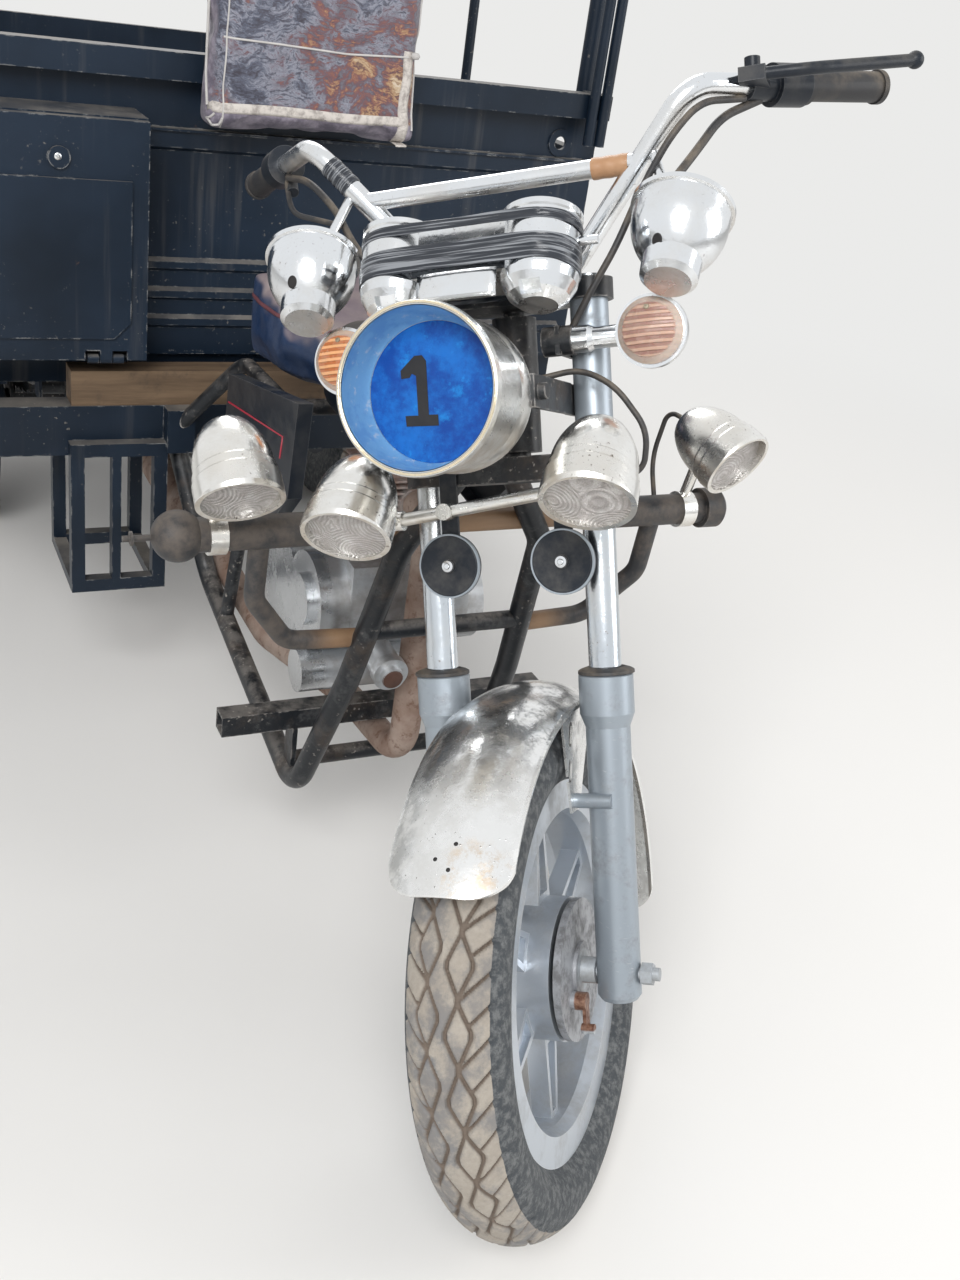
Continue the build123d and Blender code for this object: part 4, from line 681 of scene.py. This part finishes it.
def treadHeight(kind, lateral, turn):
    # Distance to each groove line: lateral is -1..1 over the tread, turn counts pitches
    def lines(at):
        return np.abs(at - np.floor(at + 0.5))

    def zigzag(at):
        return 4 * lines(at) - 1

    if kind == "front":
        fine, broad, short = [], [], []
        for side, shift in ((1, 0.0), (-1, 0.5)):
            out = lateral * side
            row = (turn + shift) / 2
            wave = np.clip(1.25 * zigzag(row), -1, 1)
            outer, inner = 0.48 + 0.13 * wave, 0.20 - 0.12 * wave
            broad.append(np.abs(out - outer))
            fine.append(np.abs(out - inner))
            shoulder = lines(row * 2 + (out - 0.35) * 1.3)
            short.append(np.where(out > outer, shoulder, 9))
        return broad[0], broad[1], np.minimum(*short), np.minimum(*fine) * 1.7
    wave = zigzag(turn)
    left = np.abs(lateral + 0.33 + 0.06 * wave)
    right = np.abs(lateral - 0.33 - 0.06 * wave)
    middle = np.abs(lateral - 0.05 * wave)
    outer = np.where(np.abs(lateral) > 0.45, lines(turn + np.abs(lateral) * 0.4), 9)
    return left, right, outer, middle


def makeTyre(name, kind, size, place, body, node):
    r, flange = size["radius"], size["flange"]
    if kind == "front":
        crown = size["crown"]
        reach = math.radians(48)
        sx, sr = crown * math.sin(reach), r - crown + crown * math.cos(reach)
        angles = np.linspace(-reach, reach, size["across"])
        treadLine = [(crown * math.sin(a), r - crown + crown * math.cos(a)) for a in angles]
    else:
        sx, sr = size["shoulder"], r - size["drop"]
        xs = np.linspace(-sx, sx, size["across"])
        fall = size["drop"] / (sx - size["flat"])
        treadLine = [(x, r - max(0, abs(x) - size["flat"]) * fall) for x in xs]
    wallMiddle = (sr + flange) / 2
    wall = arcThrough((size["rimHalf"], flange), (size["tyreHalf"], wallMiddle), (sx, sr), size["walls"] + 1)
    rightWall = wall[:-1][::-1]
    leftWall = [(-x, h) for x, h in wall[:-1]]
    profile = np.array(leftWall + treadLine + rightWall)
    rows, columns = size["around"], len(profile)
    lateral = np.full(columns, 2.0)
    first = len(leftWall)
    lateral[first:first + size["across"]] = np.linspace(-1, 1, size["across"])
    angle = np.linspace(0, 2 * np.pi, rows, endpoint=False)
    turn = (angle / (2 * np.pi) * size["pitches"])[:, None]
    lat = lateral[None, :] + 0 * turn
    spread = np.abs(lat)
    halfWidth = sx * (1.15 if kind == "front" else 1.0)
    pitchLength = 2 * math.pi * r / size["pitches"]
    left, right, outer, inner = treadHeight(kind, lat, turn)
    groove = np.zeros_like(lat)
    for distance, unit in ((left, halfWidth), (right, halfWidth), (outer, pitchLength), (inner, pitchLength)):
        edge = distance * unit / (size["width"] / 2)
        groove = np.maximum(groove, np.clip(1.6 - edge, 0, 1))
    groove = np.where(spread <= 1, groove, 0)
    depth = size["groove"] * groove
    middle = np.array([0.0, r - 0.07])
    toMiddle = middle[None, :] - profile
    toMiddle /= np.linalg.norm(toMiddle, axis=1)[:, None]
    x = profile[None, :, 0] + depth * toMiddle[None, :, 0]
    h = profile[None, :, 1] + depth * toMiddle[None, :, 1]
    co = np.stack([x, -h * np.sin(angle)[:, None], h * np.cos(angle)[:, None]], axis=-1).reshape(-1, 3)
    a = np.arange(rows)[:, None] * columns + np.arange(columns - 1)[None, :]
    b = ((np.arange(rows) + 1) % rows)[:, None] * columns + np.arange(columns - 1)[None, :]
    faces = np.stack([a, b, b + 1, a + 1], axis=-1).reshape(-1, 4)
    mesh = bpy.data.meshes.new(name)
    mesh.from_pydata(co.tolist(), [], faces.tolist())
    for label, values in (("groove", groove), ("tread", np.where(spread <= 0.98, 1.0, 0.0))):
        layer = mesh.attributes.new(label, "FLOAT", "POINT")
        layer.data.foreach_set("value", values.astype(np.float32).reshape(-1))
    mesh.transform(place)
    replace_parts(addObject(name, mesh, "tyreRubber", body, None, 50), node)


makeTyre("frontTyreTread", "front", frontTyre, forkPlace, "front_wheel", "front_tyre")
for side in ("left", "right"):
    hub = joints[f"rear_wheel_{side}_spin"]
    rearPlace = placeOf(Vector(hub["pos_m"]), *level)
    makeTyre(f"rearTyreTread_{side}", "rear", rearTyre, rearPlace, f"rear_wheel_{side}", f"rear_tyre_{side}")
print("tyres made")


# Pieces that cover or follow the frame's nodes

trees = {}


def treeOf(mesh, name):
    if name not in trees:
        bm = bmesh.new()
        bm.from_mesh(mesh)
        trees[name] = BVHTree.FromBMesh(bm)
        bm.free()
    return trees[name]


def onNode(node, start, toward):
    # Where a ray meets a node, and the surface's direction there
    mesh = frame["nodes"][node].data
    hit, normal = treeOf(mesh, node).ray_cast(Vector(start), Vector(toward).normalized())[:2]
    return hit, normal


def settled(piece):
    # The mesh that the piece's modifiers give, with the modifiers gone
    bpy.context.view_layer.update()
    graph = bpy.context.evaluated_depsgraph_get()
    mesh = bpy.data.meshes.new_from_object(piece.evaluated_get(graph))
    piece.modifiers.clear()
    piece.data = mesh
    return mesh


def pointsOf(mesh):
    flat = np.empty(len(mesh.vertices) * 3, np.float32)
    mesh.vertices.foreach_get("co", flat)
    return flat.reshape(-1, 3).astype(float)


padStart, padSteps, padMargin = 1, 20, 0.0006
cushion = {
    "low": (-0.171, -0.221, 1.092), "high": (0.203, -0.142, 1.396), "voxel": 0.006, "pressure": 3.5, "cap": 0.016,
    "fill": 0.7,
}
saddle = {
    "low": (-0.125, -0.632, 0.770), "high": (0.125, -0.330, 0.906), "voxel": 0.006, "pressure": 3.0, "cap": 0.008,
    "fill": 0.8,
}


def makePad(name, node, size, finish):
    source = frame["nodes"][node]
    mesh = source.data.copy()
    mesh.transform(source.matrix_world)
    mesh.materials.clear()
    boxLow, boxHigh = (np.array(v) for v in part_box(node))
    low, high = np.array(size["low"]), np.array(size["high"])
    co = (pointsOf(mesh) - boxLow) / (boxHigh - boxLow) * (high - low) + low
    mesh.vertices.foreach_set("co", co.reshape(-1))
    pad = bpy.data.objects.new(name, mesh)
    bpy.context.scene.collection.objects.link(pad)
    remesh = pad.modifiers.new("remesh", "REMESH")
    remesh.mode, remesh.voxel_size = "VOXEL", size["voxel"]
    rest = pointsOf(settled(pad))
    cloth = pad.modifiers.new("cloth", "CLOTH")
    cloth.settings.use_pressure = True
    cloth.settings.uniform_pressure_force = size["pressure"]
    cloth.settings.effector_weights.gravity = 0
    for step in range(padSteps):
        bpy.context.scene.frame_set(padStart + step)
    blown = pointsOf(settled(pad))
    bpy.context.scene.frame_set(padStart)
    move = blown - rest
    far = np.linalg.norm(move, axis=1)[:, None]
    rest = rest + move * np.minimum(1, size["cap"] / np.maximum(far, 1e-9))
    pad.data.vertices.foreach_set("co", rest.reshape(-1))
    relax = pad.modifiers.new("relax", "SMOOTH")
    relax.factor, relax.iterations = 0.5, 6
    rest = pointsOf(settled(pad))
    rest = np.clip(rest, boxLow + padMargin, boxHigh - padMargin)
    pad.data.vertices.foreach_set("co", rest.reshape(-1))
    pad.data.update()
    smooth = pad.modifiers.new("smooth", "SUBSURF")
    smooth.levels = smooth.render_levels = 1
    mesh = settled(pad)
    mesh.materials.append(finishOf(finish))
    mesh.shade_smooth()
    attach(pad, "chassis")
    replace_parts(pad, node)
    return pad


backCushion = makePad("cushionPad", "backrest_cushion", cushion, "cushionPrint")
seatPad = makePad("seatPad", "seat", saddle, "seatVinyl")
print("soft pieces made")

# Tape bands, strings and edging on the cushion's face: x and z points, laid on the padded face

cushionTrim = {
    "tapes": (
        ((-0.166, 1.133), (0.176, 1.133), 0.016), ((0.171, 1.093), (0.168, 1.160), 0.020),
        ((0.168, 1.150), (0.170, 1.246), 0.020),
    ),
    "strings": (
        (((-0.176, 1.238), (-0.06, 1.236), (0.06, 1.232), (0.182, 1.238)), 0.0017),
        (((-0.146, 1.100), (-0.145, 1.18), (-0.142, 1.28), (-0.140, 1.385)), 0.0014),
        (((-0.166, 1.132), (-0.166, 1.20), (-0.165, 1.28), (-0.164, 1.385)), 0.0024),
        (((0.190, 1.120), (0.190, 1.20), (0.189, 1.28), (0.188, 1.385)), 0.0020),
        (((-0.158, 1.122), (-0.166, 1.112), (-0.160, 1.103), (-0.150, 1.105), (-0.146, 1.118)), 0.0020),
    ),
    "ahead": -0.5, "side": -0.185, "front": -0.225, "lift": 0.0009, "thick": 0.0006,
}


def faceAt(tree, x, z, last):
    # The y of the padded face at x and z, or the last one where the pad falls away
    hit = tree.ray_cast(Vector((x, cushionTrim["ahead"], z)), Vector((0, 1, 0)))[0]
    return last if hit is None or hit.y > cushionTrim["side"] else hit.y


def makeTapeBand(name, tree, start, end, width, finish):
    start, end = Vector(start), Vector(end)
    line = (end - start).normalized()
    side = Vector((-line.y, line.x))
    count, rows = 48, 5
    verts, last = [], cushionTrim["front"]
    for step in range(count + 1):
        share = step / count
        wave = 0.0012 * math.sin(9 * share + width * 300)
        for row in range(rows):
            across = (row / (rows - 1) - 0.5) * width
            spot = start.lerp(end, share) + side * (across + wave)
            last = faceAt(tree, spot.x, spot.y, last)
            lift = cushionTrim["lift"] if 0 < row < rows - 1 else 0.0001
            verts.append((spot.x, last - lift - 0.0003 * math.sin(40 * share + row), spot.y))
    faces = [
        (a, a + 1, a + 1 + rows, a + rows)
        for step in range(count) for a in range(step * rows, step * rows + rows - 1)]
    band = addMesh(name, verts, faces, finish, "chassis", None, 60)
    thick = band.modifiers.new("thick", "SOLIDIFY")
    thick.thickness, thick.offset = cushionTrim["thick"], 0
    settled(band)


cushionTree = treeOf(backCushion.data, "cushionPad")
for index, (start, end, width) in enumerate(cushionTrim["tapes"]):
    makeTapeBand(f"cushionTape_{index}", cushionTree, start, end, width, "paleTape")
for index, (line, radius) in enumerate(cushionTrim["strings"]):
    route = []
    for first, second in zip(line, line[1:]):
        for step in range(8):
            x, z = Vector(first).lerp(Vector(second), step / 8)
            face = faceAt(cushionTree, x, z, 0)
            if face < 0:
                route.append((x, face - radius * 0.6, z))
    tube(f"cushionString_{index}", route, radius, "string", "chassis")
knotSpot = Vector((0.181, faceAt(cushionTree, 0.178, 1.240, -0.215) - 0.004, 1.240))
knot = [(0, -0.006), (0.006, -0.005), (0.0085, 0), (0.006, 0.0045), (0, 0.006)]
lathe("cushionKnot", knot, "string", "chassis", Matrix.Translation(knotSpot), 16, 60)

# Red welt round the top of the seat

welt = {"middle": (0.0, -0.47), "height": 0.872, "radius": 0.0032, "steps": 44}
seatTree = treeOf(seatPad.data, "seatPad")
line = []
for step in range(welt["steps"] + 1):
    turn = 2 * math.pi * step / welt["steps"]
    away = Vector((math.sin(turn), -math.cos(turn), 0))
    start = Vector((*welt["middle"], welt["height"])) + away * 0.5
    hit = seatTree.ray_cast(start, -away)[0]
    if hit:
        line.append(hit + away * 0.0006)
tube("seatWelt", line, welt["radius"], "welt", "chassis")


def makeBelt(name, size, low, high, place):
    # A wrinkled band of tape round two cans
    outline = []
    for middle, first in ((size["apart"], -90), (-size["apart"], 90)):
        for step in range(33):
            turn = math.radians(first + 180 * step / 32)
            outline.append((middle, math.cos(turn), math.sin(turn)))
        for step in range(1, 24):
            outline.append((middle * (1 - step / 12), 0.0, math.sin(math.radians(first + 180))))
    rows, verts = 11, []
    for index, (middle, nx, ny) in enumerate(outline):
        run = index / len(outline) * 2 * math.pi
        for row in range(rows):
            share = row / (rows - 1)
            crease = math.sin(11 * share + 3 * math.sin(2 * run) + 1.7 * math.sin(5 * run))
            swell = size["thick"] * (0.62 + 0.38 * crease) * math.sin(math.pi * (0.06 + 0.88 * share)) ** 0.3
            z = low + (high - low) * share + 0.0007 * math.sin(7 * run + 3 * share)
            verts.append((middle + nx * (size["radius"] + swell), ny * (size["radius"] + swell), z))
        for z in (high, low):
            verts.append((middle + nx * (size["radius"] - 0.0002), ny * (size["radius"] - 0.0002), z))
    section, count = rows + 2, len(outline)
    faces = []
    for index in range(count):
        after = (index + 1) % count
        for k in range(section):
            m = (k + 1) % section
            faces.append((index * section + k, after * section + k, after * section + m, index * section + m))
    addMesh(name, verts, faces, "tapeBlack", "steering", place, 50)


gaugeBelts = {
    "apart": 0.084, "radius": 0.0441, "thick": 0.0016, "at": (0, -0.112, 0.846), "tilt": -18.0,
    "bands": ((0.0185, 0.0305), (-0.0275, 0.0025)),
}
gaugeTurn = Matrix.Rotation(math.radians(gaugeBelts["tilt"]), 4, "X")
gaugePlace = forkPlace @ Matrix.Translation(gaugeBelts["at"]) @ gaugeTurn
for index, (low, high) in enumerate(gaugeBelts["bands"]):
    makeBelt(f"gaugeTape_{index}", gaugeBelts, low, high, gaugePlace)


gaugePlate = {"half": 0.046, "high": -0.0285, "low": -0.060, "front": -0.0335}
verts, rows = [], 7
for step in range(13):
    share = step / 6 - 1
    bow = 0.0022 * (1 - share * share)
    for row in range(rows):
        z = gaugePlate["high"] + (gaugePlate["low"] - gaugePlate["high"]) * row / (rows - 1)
        curl = 0.004 * max(0, row - rows + 3) ** 2 / 4
        verts.append((share * gaugePlate["half"], gaugePlate["front"] - bow + curl, z))
faces = [(a, a + rows, a + rows + 1, a + 1) for step in range(12) for a in range(step * rows, step * rows + rows - 1)]
bridgePlate = addMesh("gaugeBridgePlate", verts, faces, "chrome", "steering", gaugePlace, 60)
thick = bridgePlate.modifiers.new("thick", "SOLIDIFY")
thick.thickness = 0.0015
settled(bridgePlate)


def forkSpot(at, axis):
    return forkPlace @ along(at, axis)


def sleeve(name, start, end, radius, finish):
    # A few turns of tape round a bar
    start, end = Vector(start), Vector(end)
    length = (end - start).length
    profile = [(radius - 0.0008, 0.0)]
    for step in range(15):
        share = step / 14
        profile.append((radius + 0.0003 * math.sin(17 * share) + 0.0003, length * share))
    profile.append((radius - 0.0008, length))
    lathe(name, profile, finish, "steering", forkSpot(start, end - start), 32, 50)


barTapes = {
    "riserTape": ((-0.188, -0.0046, 0.974), (-0.2138, -0.0103, 1.0034), 0.0134, "tapeBlack"),
    "crossbarTape": ((0.117, -0.001, 0.955), (0.160, -0.001, 0.955), 0.0120, "tapeBrown"),
}
for name, tape in barTapes.items():
    sleeve(name, *tape)

# The block numeral on the blue plate: x and z points about the fork, in millimetres

numeral = {
    "outline": (
        (-20.5, 733), (-12.0, 733), (-7.6, 727), (-7.6, 671.5), (2.6, 671), (2.9, 659.5), (-33.5, 661),
        (-34.2, 672), (-19.6, 671.5), (-19.8, 712.5), (-24.5, 715), (-27, 711), (-36.5, 710.5), (-37.0, 719),
    ),
    "front": -0.2362, "thick": 0.0004,
}
verts = [(x / 1000, numeral["front"], z / 1000) for x, z in numeral["outline"]]
verts += [(x, y - numeral["thick"], z) for x, y, z in verts]
count = len(numeral["outline"])
faces = [tuple(range(count))[::-1], tuple(range(count, 2 * count))]
faces += [(i, (i + 1) % count, count + (i + 1) % count, count + i) for i in range(count)]
addMesh("plateNumeral", verts, faces, "numeralBlack", "steering", forkPlace, None)

hood = {
    "step": (0.0733, 0.2372), "in": (0.0784, 0.2442), "out": (0.0822, 0.2866), "height": 0.694,
    "rim": 0.0855, "rimFront": 0.2872, "bead": 0.0017,
}
hoodPlace = forkSpot((0, 0, hood["height"]), (0, -1, 0))
lathe("hoodLiner", [hood["step"], hood["in"], hood["out"]], "hoodBlue", "steering", hoodPlace, 96, 60)
ring = []
for step in range(13):
    turn = step * math.pi / 6
    ring.append((hood["rim"] + hood["bead"] * math.cos(turn), hood["rimFront"] + hood["bead"] * math.sin(turn)))
lathe("hoodBead", ring, "goldRim", "steering", hoodPlace, 96, 80)


def onFork(at, toward):
    # A point and a direction of the fork's own frame, in the vehicle's
    return forkPlace @ Vector(at), forkPlace.to_3x3() @ Vector(toward)


def spotPiece(name, node, at, toward, profile, finish, body="steering", stretch=(1, 1, 1)):
    # A small turned piece set on a node's surface, facing out of it
    start, toward = onFork(at, toward) if body == "steering" else (at, toward)
    hit, normal = onNode(node, start, toward)
    if hit is None:
        print("no surface under", name)
        return
    place = along(hit, normal) @ Matrix.Diagonal((*stretch, 1))
    lathe(name, profile, finish, body, place, 24, 50)


inward = (0, 1, 0)
horn = {
    "side": 0.071, "up": 0.506, "edge": 0.0375, "ahead": -0.10,
    "ring": [(0.0362, 0), (0.0368, 0.0009), (0.0386, 0.0010), (0.0391, -0.0004), (0.0391, -0.003)],
    "nut": [(0, 0.0042), (0.0030, 0.0042), (0.0038, 0.0032), (0.0040, 0.0018), (0.0068, 0.0015), (0.0070, -0.0006)],
}
for side, x in (("left", horn["side"]), ("right", -horn["side"])):
    spotPiece(f"hornNut_{side}", "horns", (x, horn["ahead"], horn["up"]), inward, horn["nut"], "chrome")
    edge = onNode("horns", *onFork((x + horn["edge"], horn["ahead"], horn["up"]), inward))[0]
    rim = forkSpot((x, (forkPlace.inverted() @ edge).y, horn["up"]), (0, -1, 0))
    lathe(f"hornRing_{side}", horn["ring"], "silverPaint", "steering", rim, 64, 50)

# Flat dark discs on the speaker pods stand for their holes: painted shade
podHole = [(0, 0.0002), (0.0044, 0.0002), (0.0048, 0.0007), (0.0058, 0.0001), (0.0058, -0.0004)]
for side, at in (("left", (0.211, -0.20, 0.8457)), ("right", (-0.225, -0.20, 0.850))):
    spotPiece(f"podHole_{side}", "speaker_pods", at, inward, podHole, "holeShade", stretch=(1, 1.3, 1))

# Flat dark discs stand for the fender's holes: painted shade
fenderHole = [(0, 0.0002), (0.0022, 0.0002), (0.0026, -0.0002)]
for index, (x, z) in enumerate(((0.0119, 0.3944), (-0.0078, 0.3719), (0.0086, 0.3584))):
    spotPiece(f"fenderHole_{index}", "front_fender", (x, -0.5, z), (0, 0.8, -0.6), fenderHole, "holeShade")

lensScrew = [(0, 0.0008), (0.0008, 0.0008), (0.0009, 0.0014), (0.0028, 0.0012), (0.0034, -0.0004)]
for side, x in (("left", 0.188), ("right", -0.190)):
    spotPiece(f"lensScrew_{side}", "signal_lenses", (x, -0.15, 0.7835), inward, lensScrew, "brass")

# Rubber wipers on top of the sliders

wiper = {
    "side": 0.106, "up": 0.371,
    "ring": [(0.0201, 0.0), (0.0201, 0.004), (0.0235, 0.0062), (0.0300, 0.0042), (0.0338, 0.0020),
             (0.0341, -0.0014), (0.0333, -0.0020)],
}
for side, x in (("left", wiper["side"]), ("right", -wiper["side"])):
    top = forkSpot((x, 0, wiper["up"]), (0, 0, 1))
    lathe(f"forkWiper_{side}", wiper["ring"], "rubber", "steering", top, 64, 40)

starterCap = [(0, 0.0032), (0.0055, 0.0030), (0.0070, 0.0018), (0.0120, 0.0018), (0.0150, 0.0006), (0.0162, -0.001)]
spotPiece("starterCap", "crankcase", (-0.0563, -1.3, 0.4970), (0, 1, -0.1), starterCap, "capRust", "chassis")
lockBarrel = [(0, 0.0012), (0.0030, 0.0012), (0.0052, 0.0008), (0.0058, -0.0002)]
spotPiece("lockBarrel", "locker_door", (-0.4080, -0.5, 1.0425), inward, lockBarrel, "chrome", "locker_door")

pinstripe = {"side": 0.1862, "line": ((-0.481, 0.7237), (-0.7617, 0.7696), (-0.7547, 0.7351)), "radius": 0.0016}
for side, x in (("left", pinstripe["side"]), ("right", -pinstripe["side"])):
    line = [(x, y, z) for y, z in pinstripe["line"]]
    tube(f"coverStripe_{side}", line, pinstripe["radius"], "pinstripe", "chassis", False)
print("small pieces made")


# Floor, backdrop and light

studio = {
    "floorTone": (0.80, 0.79, 0.77), "far": (0.83, 0.83, 0.82), "size": 40.0, "fadeFrom": 1.7, "fadeTo": 4.2,
    "key": 260.0, "fill": 90.0, "back": 120.0, "sky": 0.55, "mirror": 0.92,
}


def makeStudio(settings):
    floor = Finish("studioFloor", Roughness=0.9)
    floor.paint(Base_Color=floor.mix(floor.noise(3, 2) * 0.1, settings["floorTone"], (0.76, 0.75, 0.73)))
    seen = floor.node("ShaderNodeLightPath", output="Is Camera Ray")
    away = floor.vector("LENGTH", [floor.where], "Value")
    glow = floor.node("ShaderNodeEmission", {}, {"Color": settings["far"], "Strength": 1.0})
    lit = Wire(floor, floor.shader.outputs[0])
    share = seen * away.between(settings["fadeFrom"], settings["fadeTo"])
    mixed = floor.node("ShaderNodeMixShader", {}, {0: share, 1: lit, 2: glow})
    floor.plug(floor.tree.nodes["Material Output"].inputs["Surface"], mixed)
    half = settings["size"] / 2
    mesh = bpy.data.meshes.new("studioFloor")
    mesh.from_pydata([(-half, -half, 0), (half, -half, 0), (half, half, 0), (-half, half, 0)], [], [(0, 1, 2, 3)])
    mesh.materials.append(floor.material)
    ground = bpy.data.objects.new("studioFloor", mesh)
    bpy.context.scene.collection.objects.link(ground)
    lamps = [
        ("key", settings["key"], (-2.6, -4.6, 4.2), (0, -0.9, 0.6), 2.6),
        ("fill", settings["fill"], (4.2, -3.6, 2.6), (0, -0.8, 0.6), 3.0),
        ("back", settings["back"], (1.0, 4.4, 4.6), (0, 0.2, 0.7), 3.0),
    ]
    for name, power, place, target, size in lamps:
        data = bpy.data.lights.new(name, "AREA")
        data.energy, data.size = power, size
        lamp = bpy.data.objects.new(name, data)
        lamp.matrix_world = along(place, Vector(place) - Vector(target))
        bpy.context.scene.collection.objects.link(lamp)
    world = bpy.data.worlds.new("studio")
    world.use_nodes = True
    bpy.context.scene.world = world
    tree = world.node_tree
    background = tree.nodes["Background"]
    path = tree.nodes.new("ShaderNodeLightPath")
    tone = settings["far"]
    rays = [("Is Camera Ray", tone), ("Is Transmission Ray", tone), ("Is Glossy Ray", (settings["mirror"],) * 3)]
    colour = None
    for ray, seenTone in rays:
        mix = tree.nodes.new("ShaderNodeMix")
        mix.data_type = "RGBA"
        mix.inputs[7].default_value = (*seenTone, 1)
        mix.inputs[6].default_value = (settings["sky"],) * 3 + (1,)
        if colour:
            tree.links.new(colour, mix.inputs[6])
        tree.links.new(path.outputs[ray], mix.inputs[0])
        colour = mix.outputs[2]
    tree.links.new(colour, background.inputs["Color"])


makeStudio(studio)
bpy.context.scene.view_settings.view_transform = "Standard"
print("studio ready")
